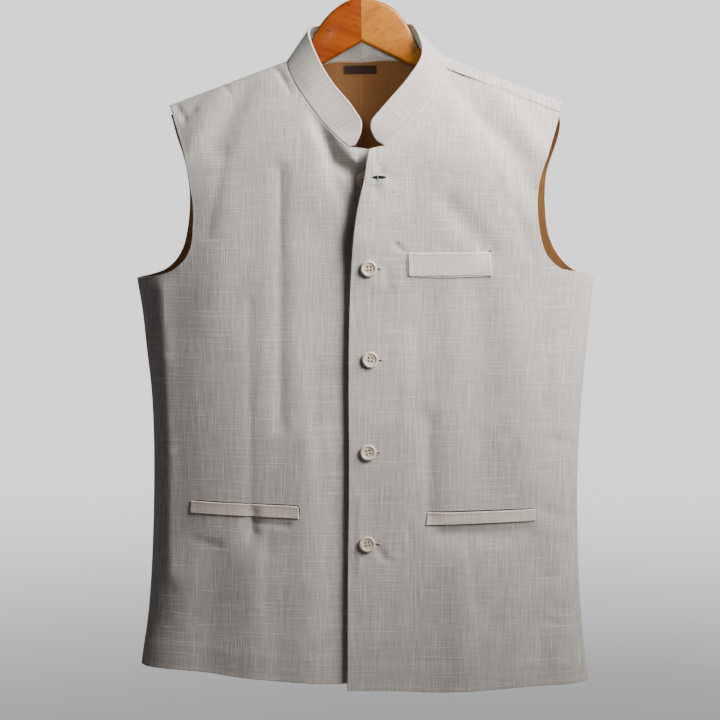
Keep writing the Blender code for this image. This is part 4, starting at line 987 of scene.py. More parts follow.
def hole_edge(panel, x, z, half, opening):
    """Buttonhole's sewn edge: an oval ring round the slit, its section a flat ellipse that swells and
    thins with each stitch."""
    spin = np.arange(HOLE_STEPS) * 2 * np.pi / HOLE_STEPS
    section_turn = np.arange(8) * 2 * np.pi / 8
    stitch = 1 + HOLE_SWELL * np.cos(spin * HOLE_STEPS / HOLE_STITCH)
    off = HOLE_EDGE * 0.5 * (1 - np.cos(section_turn))[None, :] * stitch[:, None]
    rise = HOLE_RISE * np.sin(section_turn)[None, :] * stitch[:, None] + HOLE_FOOT
    px = x + (half + off) * np.cos(spin)[:, None]
    pz = z + (opening + off) * np.sin(spin)[:, None]
    point = on_front(panel, px, pz, rise)[0]
    index = np.arange(point[..., 0].size).reshape(point.shape[:2])
    faces = [list(face) for face in grid_faces(index, True, True)]
    return point.reshape(-1, 3), faces


def slit(panel, x, z, half, opening):
    """Painted shade inside a buttonhole: a flat dark drop along it, widest near its left end."""
    t = np.linspace(0, np.pi, 25)
    px = x - half * np.cos(t)
    path, normal = on_front(panel, px, np.full_like(px, z), SLIT_LIFT)
    across, up = frame_along(path, normal)
    return tube(path, across, up, opening * np.sin(t) ** 0.8 * (1.6 - 1.25 * t / np.pi) + 0.15, 0.1, 10)


def arm_grid(table, side):
    """Sections of a hanger arm: rounded oblongs, each corner a quarter circle, from the middle of the
    hanger to its tip, where they shrink."""
    rows = [list(row) for row in table]
    for x, share in zip(ARM_FAR, ARM_TIP):
        top = float(ridge(np.array(side * x))) - ARM_REST
        middle = top - ARM_DEPTH * ARM_MIDDLE
        rows.append([x, middle + (top - middle) * share, middle - ARM_DEPTH * (1 - ARM_MIDDLE) * share,
                     ARM_THICK * (ARM_TIP_THICK + (1 - ARM_TIP_THICK) * share)])
    rows = np.array(rows)
    rows[0, 0] = ARM_JOINT
    at = np.unique(np.concatenate([np.linspace(rows[0, 0], rows[-1, 0], ARM_STEPS), rows[:, 0]]))
    top, bottom, thick = (smooth(at, rows, column)[:, None] for column in (1, 2, 3))
    at = np.insert(at, 1, at[0] + ARM_EDGE)
    past, left = np.array(ARM_END).T
    shrink = np.concatenate([np.ones_like(at), left])[:, None]
    at = np.concatenate([at, at[-1] + past])
    top, bottom, thick = (np.concatenate([value[:1], value, np.repeat(value[-1:], len(past), 0)])
                          for value in (top, bottom, thick))
    turn = (np.arange(ARM_SIDES_FINE) + 0.5)[None, :] * 2 * np.pi / ARM_SIDES_FINE
    corner = np.minimum(ARM_CORNER, thick - ARM_FLAT)
    y = (np.cos(turn) * corner + np.sign(np.cos(turn)) * (thick - corner)) * shrink
    z = np.sin(turn) * corner + np.where(np.sin(turn) > 0, top - corner, bottom + corner)
    middle = (top + bottom) / 2
    z = middle + (z - middle) * shrink
    return np.stack(np.broadcast_arrays(side * at[:, None], ARM_Y + y, z), -1)


def closed_loft(rings, flip):
    """Points and faces of rings joined in a row, closed by a face at each end."""
    count, sides = rings.shape[:2]
    index = np.arange(count * sides).reshape(count, sides)
    faces = [list(face) for face in grid_faces(index, wrap_columns=True)]
    faces += [list(index[0][::-1]), list(index[-1])]
    return rings.reshape(-1, 3), [face[::-1] for face in faces] if flip else faces


def hook_path():
    """Middle line of the hook's wire: a straight stem, a cubic bend and most of a circle."""
    radius = HOOK_INNER + HOOK_WIRE
    start = math.radians(HOOK_START)
    circle_start = np.array([radius * math.cos(start), -HOOK_INNER + radius * math.sin(start)])
    foot, neck = np.array([0.0, HOOK_STEM[0]]), np.array([0.0, HOOK_STEM[1]])
    into = np.array([-math.sin(start), math.cos(start)])
    handles = (neck, neck + (0, HOOK_HANDLE), circle_start - into * HOOK_HANDLE, circle_start)
    t = np.linspace(0, 1, 25)[:, None]
    bend = (handles[0] * (1 - t) ** 3 + handles[1] * 3 * t * (1 - t) ** 2
            + handles[2] * 3 * t * t * (1 - t) + handles[3] * t ** 3)
    turn = np.radians(np.linspace(HOOK_START, HOOK_END, 90))[1:]
    arc = np.stack([radius * np.cos(turn), -HOOK_INNER + radius * np.sin(turn)], 1)
    stem = foot + (neck - foot) * np.linspace(0, 1, 9)[:-1, None]
    flat = np.concatenate([stem, bend, arc])
    return np.stack([flat[:, 0], np.zeros(len(flat)), flat[:, 1]], 1)


def line_on(panel, places, half_width, lift):
    """Thin closed strand along x, z places on a front, thinning to both ends as a root of a sine."""
    places = np.array(places, float)
    length = lengths_along(places)
    at = np.linspace(0, length[-1], max(int(length[-1] / LINE_STEP), 8) + 1)
    path, normal = on_front(panel, np.interp(at, length, places[:, 0]),
                            np.interp(at, length, places[:, 1]), lift)
    across, up = frame_along(path, normal)
    thin = np.sin(np.linspace(0.02, np.pi - 0.02, len(at))) ** LINE_THIN
    return tube(path, across, up, half_width * thin, min(half_width, lift + 0.1) * thin)


class Value:
    """A number or vector that varies over a surface; arithmetic on it adds Math nodes."""

    def __init__(self, finish, socket):
        self.finish = finish
        self.socket = socket

    def _math(self, operation, first, second=None):
        values = {0: first} if second is None else {0: first, 1: second}
        return self.finish.node("ShaderNodeMath", {"operation": operation}, values)

    def __add__(self, other):
        return self._math("ADD", self, other)

    def __sub__(self, other):
        return self._math("SUBTRACT", self, other)

    def __rsub__(self, other):
        return self._math("SUBTRACT", other, self)

    def __mul__(self, other):
        return self._math("MULTIPLY", self, other)

    def __abs__(self):
        return self._math("ABSOLUTE", self)

    def cosine(self):
        return self._math("COSINE", self)

    def most(self, other):
        return self._math("MAXIMUM", self, other)

    def above(self, start, end):
        """Smooth rise from nought at start to one at end."""
        return self.finish.node("ShaderNodeMapRange", {"interpolation_type": "SMOOTHSTEP"},
                                {0: self, 1: start, 2: end, 3: 0.0, 4: 1.0})

    __radd__ = __add__
    __rmul__ = __mul__


class Finish:
    """A Principled material whose varying values are written as expressions."""

    def __init__(self, name, **constants):
        self.material = bpy.data.materials.new(name)
        self.material.use_nodes = True
        self.tree = self.material.node_tree
        self.shader = self.tree.nodes["Principled BSDF"]
        for socket, number in constants.items():
            self.shader.inputs[socket.replace("_", " ")].default_value = number

    def node(self, kind, settings, values, output=0):
        """Adds a node: its settings first, then the values or links of its sockets."""
        made = self.tree.nodes.new(kind)
        for name, setting in settings.items():
            setattr(made, name, setting)
        for name, given in values.items():
            if isinstance(given, Value):
                self.tree.links.new(given.socket, made.inputs[name])
            else:
                made.inputs[name].default_value = given
        return Value(self, made.outputs[output])

    def give(self, socket, value):
        self.tree.links.new(value.socket, self.shader.inputs[socket])

    def field(self, name, output=2):
        """A value kept on the piece's points: output 1 is a vector and 2 a number."""
        return self.node("ShaderNodeAttribute", {"attribute_name": name}, {}, output)

    def place(self):
        return self.node("ShaderNodeTexCoord", {}, {}, 3)

    def scaled(self, vector, by, turn=(0.0, 0.0, 0.0)):
        return self.node("ShaderNodeMapping", {}, {"Vector": vector, "Scale": by, "Rotation": turn})

    def axis(self, vector, number):
        return self.node("ShaderNodeSeparateXYZ", {}, {0: vector}, number)

    def noise(self, vector, scale=1.0, detail=2.0, rough=0.5):
        return self.node("ShaderNodeTexNoise", {}, {"Vector": vector, "Scale": scale, "Detail": detail,
                                                    "Roughness": rough})

    def mix(self, factor, first, second, blend="MIX"):
        return self.node("ShaderNodeMix", {"data_type": "RGBA", "blend_type": blend},
                         {0: factor, 6: first, 7: second}, 2)

    def shade(self, colour, amount):
        """Colour times a number at each place."""
        colour = colour if isinstance(colour, Value) else colour[:3]
        return self.node("ShaderNodeVectorMath", {"operation": "SCALE"}, {0: colour, 3: amount})

    def bump(self, height, depth, strength=1.0):
        self.give("Normal", self.node("ShaderNodeBump", {}, {"Height": height, "Distance": depth,
                                                             "Strength": strength}))


def whole(colour):
    """The colour with full cover."""
    return (colour[0], colour[1], colour[2], 1.0)


def threads(finish, cloth, pitch, run, slub):
    """Warp and weft: noise drawn out along one way of the cloth and close across it, and the few thick
    threads where a second, sparser noise of the same kind passes a limit."""
    fine = 1.0 / pitch
    warp = finish.noise(finish.scaled(cloth, (fine, 0.8 / run, 1.0)))
    weft = finish.noise(finish.scaled(cloth, (1.0 / run, fine, 1.0)))
    long_warp = finish.noise(finish.scaled(cloth, (0.42 * fine, 0.35 / run, 3.0)), detail=1.0)
    long_weft = finish.noise(finish.scaled(cloth, (0.35 / run, 0.42 * fine, 5.0)), detail=1.0)
    slubs = long_warp.above(slub, slub + 0.12).most(long_weft.above(slub, slub + 0.12))
    return warp, weft, slubs


def linen_finish(name, colour, slub_light, painted_edge_highlight, lining_colour=None, pitch=0.00095, flecks=()):
    """Slub linen: warp and weft threads of uneven lightness, thick light threads both ways, faint
    clouds, painted highlight along folded edges with painted shade in the groove inside them, and
    lining where the piece is lined."""
    finish = Finish(name, Roughness=0.9, Specular_IOR_Level=0.12, Sheen_Weight=0.12, Sheen_Roughness=0.5)
    cloth = finish.field("cloth", 1)
    warp, weft, slubs = threads(finish, cloth, pitch, 0.022, 0.58)
    wide = finish.noise(finish.scaled(cloth, (1 / (2.6 * pitch), 1 / 0.06, 2.0)), detail=1.0)
    broad = finish.noise(finish.scaled(cloth, (1 / 0.06, 1 / (2.6 * pitch), 4.0)), detail=1.0)
    clouds = finish.noise(cloth, 26.0, 3.0)
    tone = (1.0 + (warp - 0.5) * 0.8 + (weft - 0.5) * 0.5 + (wide - 0.5) * 0.42 + (broad - 0.5) * 0.2
            + slubs * slub_light + (clouds - 0.5) * 0.12)
    edge = finish.field("edge")
    # Painted highlight on the folded edges and painted shade in the groove just inside them.
    edge_highlight_mask = 1.0 - edge.above(0.0006, 0.0015)
    groove_shade_mask = edge.above(0.0012, 0.002) * (1.0 - edge.above(0.002, 0.0042))
    tone = tone + edge_highlight_mask * painted_edge_highlight - groove_shade_mask * 0.07
    made = finish.shade(colour, tone)
    for spot, size, ink in flecks:
        away = finish.node("ShaderNodeVectorMath", {"operation": "DISTANCE"},
                           {0: finish.place(), 1: spot}, 1)
        ragged = away + (finish.noise(finish.place(), 1800.0) - 0.5) * size
        made = finish.mix((1.0 - ragged.above(size * 0.4, size)) * 0.75, made, whole(ink))
    weave = warp + weft + slubs * 0.8
    if lining_colour is not None:
        inside = finish.field("inside").above(0.45, 0.55)
        satin = finish.shade(lining_colour, 0.9 + finish.noise(cloth, 90.0, 3.0) * 0.25)
        made = finish.mix(inside, made, satin)
        weave = weave * (1.0 - inside * 0.85)
        finish.give("Roughness", 0.9 - inside * 0.45)
    finish.give("Base Color", made)
    finish.bump(weave, 0.00015, 0.75)
    return finish.material


def satin_finish(name, colour):
    """Lining satin: fine even weft lines, soft clouds, and a faint lighter line down the centre."""
    finish = Finish(name, Roughness=0.42, Specular_IOR_Level=0.35, Sheen_Weight=0.1)
    cloth = finish.field("cloth", 1)
    lines = finish.noise(finish.scaled(cloth, (1 / 0.012, 1 / 0.0005, 1.0)))
    streaks = finish.noise(finish.scaled(cloth, (1 / 0.006, 1 / 0.08, 1.0)), detail=3.0)
    clouds = finish.noise(cloth, 34.0, 3.0)
    centre = 1.0 - abs(finish.axis(cloth, 0) - LINING_CENTRE * MM).above(0.0004, 0.0016)
    tone = 1.0 + (lines - 0.5) * 0.16 + (streaks - 0.5) * 0.30 + (clouds - 0.5) * 0.22 + centre * 0.16
    finish.give("Base Color", finish.shade(colour, tone))
    finish.give("Roughness", 0.36 + clouds * 0.16)
    finish.bump(lines + streaks * 1.5, 0.00016, 0.6)
    return finish.material


def label_finish(name, colour, thread):
    """Woven label: close ribs across it, a lighter turned end at each side, small contrary flecks."""
    finish = Finish(name, Roughness=0.7, Specular_IOR_Level=0.25)
    cloth = finish.field("cloth", 1)
    ribs = (finish.axis(cloth, 1) * (2 * math.pi / 0.00055)).cosine()
    grain = finish.noise(finish.scaled(cloth, (900.0, 1500.0, 1.0)))
    rim = 1.0 - finish.field("edge").above(0.0004, 0.001)
    made = finish.mix(grain.above(0.56, 0.66) * 0.22 + rim * 0.18, whole(colour), whole(thread))
    finish.give("Base Color", finish.shade(made, 0.9 + ribs * 0.12 + grain * 0.2))
    finish.bump(ribs * 0.5 + grain, 0.0002, 0.6)
    return finish.material


def wood_finish(name, colour, dark, slope, seed):
    """Varnished wood: drawn-out noise along the arm, small dark flecks, and a clear coat."""
    finish = Finish(name, Roughness=0.34, Coat_Weight=0.45, Coat_Roughness=0.12, Specular_IOR_Level=0.4)
    along = finish.scaled(finish.place(), (1.0, 1.0, 1.0), (0.0, slope, seed))
    grain = finish.noise(finish.scaled(along, (14.0, 190.0, 210.0)), detail=4.0, rough=0.6)
    bands = finish.noise(finish.scaled(along, (6.0, 46.0, 52.0)), detail=3.0)
    flecks = finish.noise(finish.scaled(along, (90.0, 300.0, 340.0)), detail=1.0).above(0.66, 0.73)
    clouds = finish.noise(finish.place(), 45.0, 2.0)
    made = finish.mix(grain.above(0.38, 0.68) * 0.5 + bands.above(0.4, 0.65) * 0.45, whole(colour),
                      whole(dark))
    made = finish.mix(flecks * 0.7, made, whole([channel * 0.35 for channel in dark]))
    finish.give("Base Color", finish.shade(made, 0.88 + clouds * 0.24))
    finish.give("Roughness", 0.3 + grain * 0.14)
    finish.bump(grain, 0.0002, 0.35)
    return finish.material


def metal_finish(name, colour):
    """Bright drawn wire: fine lines round it and faint dull patches."""
    finish = Finish(name, Metallic=1.0, Roughness=0.25)
    lines = finish.noise(finish.scaled(finish.place(), (500.0, 900.0, 500.0)))
    dull = finish.noise(finish.place(), 60.0, 3.0)
    finish.give("Base Color", finish.shade(colour, 0.85 + lines * 0.2 + dull * 0.1))
    finish.give("Roughness", 0.18 + dull * 0.22)
    finish.bump(lines, 0.00005, 0.4)
    return finish.material


def resin_finish(name, colour, dark, turn):
    """Button resin: pale horn, cloudy, with painted shade towards the lower left of the rim and in the eyes.
    """
    finish = Finish(name, Roughness=0.3, Coat_Weight=0.3, Coat_Roughness=0.15)
    across = finish.field("face", 1)
    swirl = finish.noise(finish.scaled(across, (160.0, 420.0, 160.0), (0.0, 0.0, turn)), detail=3.0)
    # Painted shade towards the lower left of the rim, mixed with the same dark colour as the real clouds.
    low = ((finish.axis(across, 0) + finish.axis(across, 1)) * -1.0).above(0.003, 0.014)
    # Painted shade in the eyes: where the face is sunk the colour goes nearly black.
    deep = 1.0 - finish.field("depth").above(-0.0012, -0.0002)
    made = finish.mix(swirl.above(0.4, 0.75) * 0.35 + low * 0.45, whole(colour), whole(dark))
    made = finish.mix(deep * 0.85, made, (0.02, 0.015, 0.01, 1.0))
    finish.give("Base Color", made)
    finish.give("Roughness", 0.24 + swirl * 0.16)
    finish.bump(swirl, 0.00008, 0.5)
    return finish.material


def thread_finish(name, colour, uneven=0.3):
    """Sewing thread or a fibre: short pale and dark runs of one colour."""
    finish = Finish(name, Roughness=0.85, Specular_IOR_Level=0.15)
    runs = finish.noise(finish.place(), 1400.0, 2.0)
    finish.give("Base Color", finish.shade(colour, 1.0 + (runs - 0.5) * uneven))
    finish.bump(runs, 0.0001, 0.5)
    return finish.material


def floor_finish(name, colour):
    """Matt studio floor with the faintest unevenness, which goes over into the surround far away."""
    finish = Finish(name, Roughness=0.85, Specular_IOR_Level=0.2)
    clouds = finish.noise(finish.place(), 1.4, 3.0)
    away = finish.node("ShaderNodeVectorMath", {"operation": "LENGTH"}, {0: finish.place()}, 1)
    fade = away.above(1.5, 6.5)
    finish.give("Base Color", finish.shade(colour, 0.985 + clouds * 0.03))
    finish.give("Alpha", 1.0 - fade)
    return finish.material


FINISHES = {}


def finishes():
    """The materials, made once from the colours in the panel."""
    if FINISHES:
        return FINISHES
    colours = bpy.context.scene.waistcoat_colours
    linen, lining = tuple(colours.linen), tuple(colours.lining)
    specks = tuple((tuple(on_front(OVER, x, z, 0.0)[0] * MM), size * MM, (0.62, 0.14, 0.05))
                   for x, z, size in SPECKS)
    fleck = (tuple(np.array(COLLAR_FLECK) * MM), 0.001, (0.12, 0.11, 0.1))
    pale = tuple(min(channel * 1.08, 0.95) for channel in linen)
    FINISHES.update(
        # The fourth number given to each linen finish is the strength of its painted edge highlight.
        over=linen_finish("linen_front_left", linen, 0.17, 0.10, lining, flecks=specks),
        linen=linen_finish("linen", linen, 0.17, 0.10, lining),
        collar=linen_finish("linen_collar", linen, 0.05, 0.16, pitch=0.0005, flecks=(fleck,)),
        welt=linen_finish("welt_linen_weave", tuple(colours.welt), 0.03, 0.14, pitch=0.0005),
        lining=satin_finish("lining_satin_weave", lining),
        label=label_finish("label_weave", tuple(colours.label), (0.16, 0.12, 0.10)),
        # The two halves' colours differ partly as two boards and partly by a painted sheen on the lighter
        # half.
        wood_left=wood_finish("hanger_wood_dark_half", tuple(colours.wood_dark), (0.16, 0.02, 0.002),
                              -0.35, 0.0),
        wood_right=wood_finish("hanger_wood_light_half_painted_sheen", tuple(colours.wood_light_and_sheen),
                               (0.33, 0.095, 0.012), 0.42, 0.3),
        metal=metal_finish("hook_wire", tuple(colours.hook)))
    for number, turn in enumerate(BUTTON_TURNS, 1):
        shade = 1.0 if number < 5 else 0.75
        dark = tuple(channel * shade for channel in colours.button_dark)
        FINISHES["button_%d" % number] = resin_finish("button_resin_%d" % number,
                                                      tuple(colours.button), dark, turn * 9)
    FINISHES.update(
        thread=thread_finish("linen_thread", pale),
        # Brighter than the linen: painted highlight of the welts' turned edges.
        lips=thread_finish("welt_edge_painted_highlight", (0.80, 0.75, 0.70), 0.15),
        button_thread=thread_finish("button_thread", (0.62, 0.58, 0.52)),
        # Near-black strands that paint the shade at the pocket mouths and in the buttonholes.
        shadow=thread_finish("pocket_mouth_shade", (0.02, 0.016, 0.014), 0.2),
        seam=thread_finish("shoulder_seam_shade", (0.17, 0.15, 0.13), 0.2),
        brown=thread_finish("brown_thread", (0.09, 0.045, 0.03)),
        blue=thread_finish("stray_blue_thread", (0.12, 0.28, 0.36)),
        floor=floor_finish("studio_floor", tuple(bpy.context.scene.waistcoat_stage.floor)))
    return FINISHES


def front_piece(name, panel, finish):
    """One front: its fine grid on the panel's surface, lined inside beyond the facing."""
    x, m = front_flat(panel)
    outer, normal = panel_surface(x, m, panel)
    first, last, low, _ = border_lengths(outer)
    rows = FRONT_ROWS_FINE[:, None]
    neck_side = np.where(rows > LOW_ROWS + MID_ROWS, first, np.inf)
    turned = np.where(rows < LOW_ROWS, LINED_SIDE, LINED_ARM)
    lined = np.minimum.reduce([first / LINED_CENTRE, last / turned, low / LINED_HEM,
                               neck_side / LINED_NECK]) > 1
    thick = bpy.context.scene.waistcoat_sizes.cloth / MM
    piece = cloth_piece(name + "_cloth", finish, outer, normal, thick, weave_lengths(x, m, -1.0),
                        (name,), lined.astype(float), rim=RIM_LINEN)
    return outer, normal


class WaistcoatSizes(bpy.types.PropertyGroup):
    cloth: bpy.props.FloatProperty(name="Cloth", description="Thickness of the linen with its interlining",
                                   default=CLOTH * MM, min=0.001, max=0.003, unit="LENGTH")
    lining: bpy.props.FloatProperty(name="Lining", description="Thickness of the lining",
                                    default=LINING * MM, min=0.0005, max=0.002, unit="LENGTH")
    band: bpy.props.FloatProperty(name="Collar band", description="Thickness of the collar",
                                  default=BAND * MM, min=0.001, max=0.003, unit="LENGTH")
    stitch: bpy.props.FloatProperty(name="Stitch", description="Length of one stitch",
                                    default=0.0028, min=0.0015, max=0.005, unit="LENGTH")


class WaistcoatColours(bpy.types.PropertyGroup):
    linen: bpy.props.FloatVectorProperty(name="Linen", description="Pale grey of the cloth",
                                         default=(0.56, 0.525, 0.497), min=0, max=1, subtype="COLOR")
    welt: bpy.props.FloatVectorProperty(name="Welts", description="Pinkish beige of the pocket welts",
                                        default=(0.76, 0.68, 0.615), min=0, max=1, subtype="COLOR")
    lining: bpy.props.FloatVectorProperty(name="Lining", description="Golden brown satin",
                                          default=(0.29, 0.135, 0.05), min=0, max=1, subtype="COLOR")
    label: bpy.props.FloatVectorProperty(name="Label", description="Dark brown of the plain label",
                                         default=(0.045, 0.028, 0.024), min=0, max=1, subtype="COLOR")
    button: bpy.props.FloatVectorProperty(name="Buttons", description="Pale resin of the buttons",
                                          default=(0.86, 0.76, 0.63), min=0, max=1, subtype="COLOR")
    # Also the painted shade towards the lower left of each button's rim.
    button_dark: bpy.props.FloatVectorProperty(name="Button shade", description="Darker cloud in the resin",
                                               default=(0.40, 0.28, 0.18), min=0, max=1, subtype="COLOR")
    wood_dark: bpy.props.FloatVectorProperty(name="Hanger, right half",
                                             description="Reddish varnished wood",
                                             default=(0.275, 0.06, 0.0032), min=0, max=1, subtype="COLOR")
    # Also paints the sheen of the varnish on this half.
    wood_light_and_sheen: bpy.props.FloatVectorProperty(name="Hanger, left half", description="Yellow varnished wood",
                                              default=(0.48, 0.185, 0.021), min=0, max=1, subtype="COLOR")
    hook: bpy.props.FloatVectorProperty(name="Hook", description="Plated wire",
                                        default=(0.72, 0.72, 0.73), min=0, max=1, subtype="COLOR")


class WaistcoatStage(bpy.types.PropertyGroup):
    floor_height: bpy.props.FloatProperty(name="Floor", description="Height of the floor below the rail",
                                          default=-1.6, min=-3, max=-1, unit="LENGTH")
    floor: bpy.props.FloatVectorProperty(name="Floor colour", description="Pale floor",
                                         default=(0.72, 0.71, 0.70), min=0, max=1, subtype="COLOR")
    key: bpy.props.FloatProperty(name="Main light", description="Power of the main lamp in watts",
                                 default=11.0, min=0, max=500)
    fill: bpy.props.FloatProperty(name="Fill light", description="Power of the fill lamp in watts",
                                  default=1.0, min=0, max=200)
    sky: bpy.props.FloatProperty(name="Surround light", description="Strength of the light from all round",
                                 default=0.035, min=0, max=5)
    surround: bpy.props.FloatProperty(name="Surround",
                                      description="Brightness of the surround that is seen",
                                      default=1.5, min=0, max=5)


class WAISTCOAT_OT_stage(bpy.types.Operator):
    """Camera at the photograph's angle, soft lamps, a pale surround and the floor"""
    bl_idname = "waistcoat.stage"
    bl_label = "Stage"

    def execute(self, context):
        scene, stage = context.scene, context.scene.waistcoat_stage
        lens = bpy.data.cameras.new("camera")
        lens.sensor_width = SENSOR
        lens.lens = SENSOR * CAMERA_DISTANCE / CAMERA_FIELD
        lens.clip_start, lens.clip_end = 0.05, 60.0
        camera = bpy.data.objects.new("camera", lens)
        pitch = math.radians(CAMERA_PITCH)
        back_off = Vector((0, -math.cos(pitch), math.sin(pitch))) * CAMERA_DISTANCE
        camera.location = Vector(CAMERA_AIM) * MM + back_off * MM
        camera.rotation_euler = (math.pi / 2 - pitch, 0, 0)
        scene.collection.objects.link(camera)
        scene.camera = camera
        for name, place, aim, size, spread, power, colour in LAMPS:
            lamp = bpy.data.lights.new(name, "AREA")
            lamp.shape = "RECTANGLE"
            lamp.size, lamp.size_y = size
            lamp.spread = math.radians(spread)
            lamp.energy = power * (stage.key if name == "key_lamp" else stage.fill)
            lamp.color = colour
            made = bpy.data.objects.new(name, lamp)
            made.location = place
            made.rotation_euler = (Vector(aim) - Vector(place)).to_track_quat("-Z", "Y").to_euler()
            made.visible_camera = False
            made.visible_glossy = name == "key_lamp"
            scene.collection.objects.link(made)
        world = scene.world or bpy.data.worlds.new("surround")
        scene.world = world
        world.use_nodes = True
        nodes, links = world.node_tree.nodes, world.node_tree.links
        seen, light = nodes["Background"], nodes.new("ShaderNodeBackground")
        seen.inputs["Color"].default_value = light.inputs["Color"].default_value = SKY
        seen.inputs["Strength"].default_value = stage.surround
        light.inputs["Strength"].default_value = stage.sky
        either, ray = nodes.new("ShaderNodeMixShader"), nodes.new("ShaderNodeLightPath")
        links.new(ray.outputs["Is Camera Ray"], either.inputs[0])
        links.new(light.outputs[0], either.inputs[1])
        links.new(seen.outputs[0], either.inputs[2])
        links.new(either.outputs[0], nodes["World Output"].inputs["Surface"])
        mesh = bpy.data.meshes.new("floor")
        reach, height = FLOOR_REACH, stage.floor_height
        mesh.from_pydata([(-reach, -reach, height), (reach, -reach, height), (reach, reach, height),
                          (-reach, reach, height)], [], [(0, 1, 2, 3)])
        mesh.materials.append(finishes()["floor"])
        floor = bpy.data.objects.new("floor", mesh)
        scene.collection.objects.link(floor)
        return {"FINISHED"}


class WAISTCOAT_OT_panels(bpy.types.Operator):
    """Both fronts, the back, and the collar on their neckline"""
    bl_idname = "waistcoat.panels"
    bl_label = "Fronts, back and collar"

    def execute(self, context):
        made, sizes = finishes(), context.scene.waistcoat_sizes
        over = front_piece("front_left", OVER, made["over"])
        under = front_piece("front_right", UNDER, made["linen"])
        x, m = back_flat()
        back = panel_surface(x, m, BEHIND)
        piece = cloth_piece("back_cloth", made["linen"], back[0], back[1], sizes.cloth / MM,
                            weave_lengths(x, m, 1.0), ("back",), rim=RIM_LINEN)
        shapes = []
        for (face, normal), vent_top in ((over, VENT_TOP_RIGHT), (under, VENT_TOP_LEFT)):
            rows = np.flatnonzero((face[:, -1, 2] > vent_top) & (FRONT_ROWS_FINE < LOW_ROWS))
            path = face[rows, -1] - normal[rows, -1] * SEAM_IN
            shapes.append(tube(path, *frame_along(path, normal[rows, -1]), SEAM_IN, SEAM_IN / 2))
        add_shapes("side_seams", made["thread"], shapes)
        # A dark strand along the shoulder seam paints its shade.
        path, normal = over[0][-1, 2:-2], over[1][-1, 2:-2]
        add_shapes("shoulder_seam_line", made["seam"],
                   [tube(path, *frame_along(path, normal), SEAM_LINE, SEAM_LINE)])
        outer, across, at, height = collar_bands(under, over, back)
        run = np.broadcast_to(at, outer.shape[:2]) * MM
        rise = COLLAR_SHARES[:, None] * height * MM
        band = sizes.band / MM
        piece = cloth_piece("collar_cloth", made["collar"], outer, across, band, (run, rise),
                            ("collar",), rim=RIM_COLLAR)
        line = slice(COLLAR_ENDS, -COLLAR_ENDS)
        shapes = [stitch_row(collar_line(grid, height, COLLAR_STITCH)[line], out * across[-3][line],
                             sizes.stitch / MM, COLLAR_THREAD)
                  for grid, out in ((outer, 1), (outer - across * band, -1))]
        seam = np.flatnonzero((outer[0, :, 1] > 0) | (outer[0, :, 0] > COLLAR_SEAM_X))
        rise = unit(outer[3, seam] - outer[0, seam])
        foot = outer[0, seam] - across[0, seam] * SEAM_DEPTH - rise * SEAM_DROP
        shapes.append(tube(foot, *frame_along(foot, across[0, seam]), SEAM_DEPTH, SEAM_DEPTH))
        thread = add_shapes("collar_stitching", made["thread"], shapes)
        return {"FINISHED"}


class WAISTCOAT_OT_lining(bpy.types.Operator):
    """Satin lining of the back and the plain label sewn to it"""
    bl_idname = "waistcoat.lining"
    bl_label = "Lining and label"

    def execute(self, context):
        made = finishes()
        x, m = back_flat()
        rows = BACK_ROWS_FINE
        base = LOW_ROWS + LINING_BASE
        top = np.maximum(m[-1] + LINING_DROP, LINING_TOP)
        at_base = np.searchsorted(rows, base)
        squeeze = (m[at_base] - top) / (m[at_base] - m[-1])
        m = np.where(rows[:, None] >= base, top + (m - m[-1]) * squeeze, m)
        keep = np.searchsorted(rows, 1.0)
        outer, normal = lining_surface(x[keep:], m[keep:])
        lengths = weave_lengths(x[keep:], m[keep:], 1.0)
        piece = cloth_piece("back_lining_satin", made["lining"], outer, normal,
                            context.scene.waistcoat_sizes.lining / MM, lengths, ("back_lining",))
        x, z = patch_grid(NECK_LABEL, 30, 10)
        below, normal = lining_surface(x, root_drop(x, z, 1))
        face = below - normal * (LINING + LABEL_LIFT + LABEL)
        label = cloth_piece("neck_label", made["label"], face, -normal, LABEL,
                            (x * MM, z * MM), ("label",), rim=RIM_LABEL)
        shapes = []
        for at in (NECK_LABEL[0][0] + LABEL_IN, NECK_LABEL[1][0] - LABEL_IN):
            edge_x = np.full(9, at)
            edge_z = np.linspace(NECK_LABEL[0][1] + LABEL_END, NECK_LABEL[3][1] - LABEL_END, 9)
            below, normal = lining_surface(edge_x, root_drop(edge_x, edge_z, 1))
            path = below - normal * (LINING + LABEL_LIFT + LABEL)
            shapes.append(stitch_row(path, -normal, LABEL_PITCH, LABEL_THREAD))
        add_shapes("label_stitching", made["brown"], shapes)
        return {"FINISHED"}


class WAISTCOAT_OT_pockets(bpy.types.Operator):
    """Three welts with painted shade lines at their mouths and the tacks at their ends"""
    bl_idname = "waistcoat.pockets"
    bl_label = "Pocket welts"

    def execute(self, context):
        made = finishes()
        for name, panel, corners, drop, flat in (
                ("chest_welt", OVER, CHEST_WELT, 0.0, FLAT_CHEST_WELT),
                ("pocket_welt_left", OVER, LOWER_WELT_OVER, 0.0, FLAT_LOWER_WELT),
                ("pocket_welt_right", UNDER, LOWER_WELT_UNDER, WELT_DROP, FLAT_LOWER_WELT)):
            x, z = patch_grid(corners, 60, 12, drop)
            outer, normal = on_front(panel, x, z, WELT_LIFT + WELT)
            piece = cloth_piece(name + "_cloth", made["welt"], outer, normal, WELT,
                                (x * MM, z * MM), (name,), rim=RIM_WELT)
        # Painted shade at the pocket mouths.
        add_shapes("pocket_mouth_shade_lines", made["shadow"],
                   [line_on(PANELS[panel], points, width, MOUTH_LIFT) for panel, points, width in MOUTHS])
        # Raised strands round the welts that carry a painted highlight.
        add_shapes("welt_lips", made["lips"],
                   [line_on(PANELS[panel], points, width, width) for panel, points, width in LIPS])
        add_shapes("welt_tacks", made["brown"],
                   [line_on(OVER, points, *TACK) for points in TACKS])
        return {"FINISHED"}


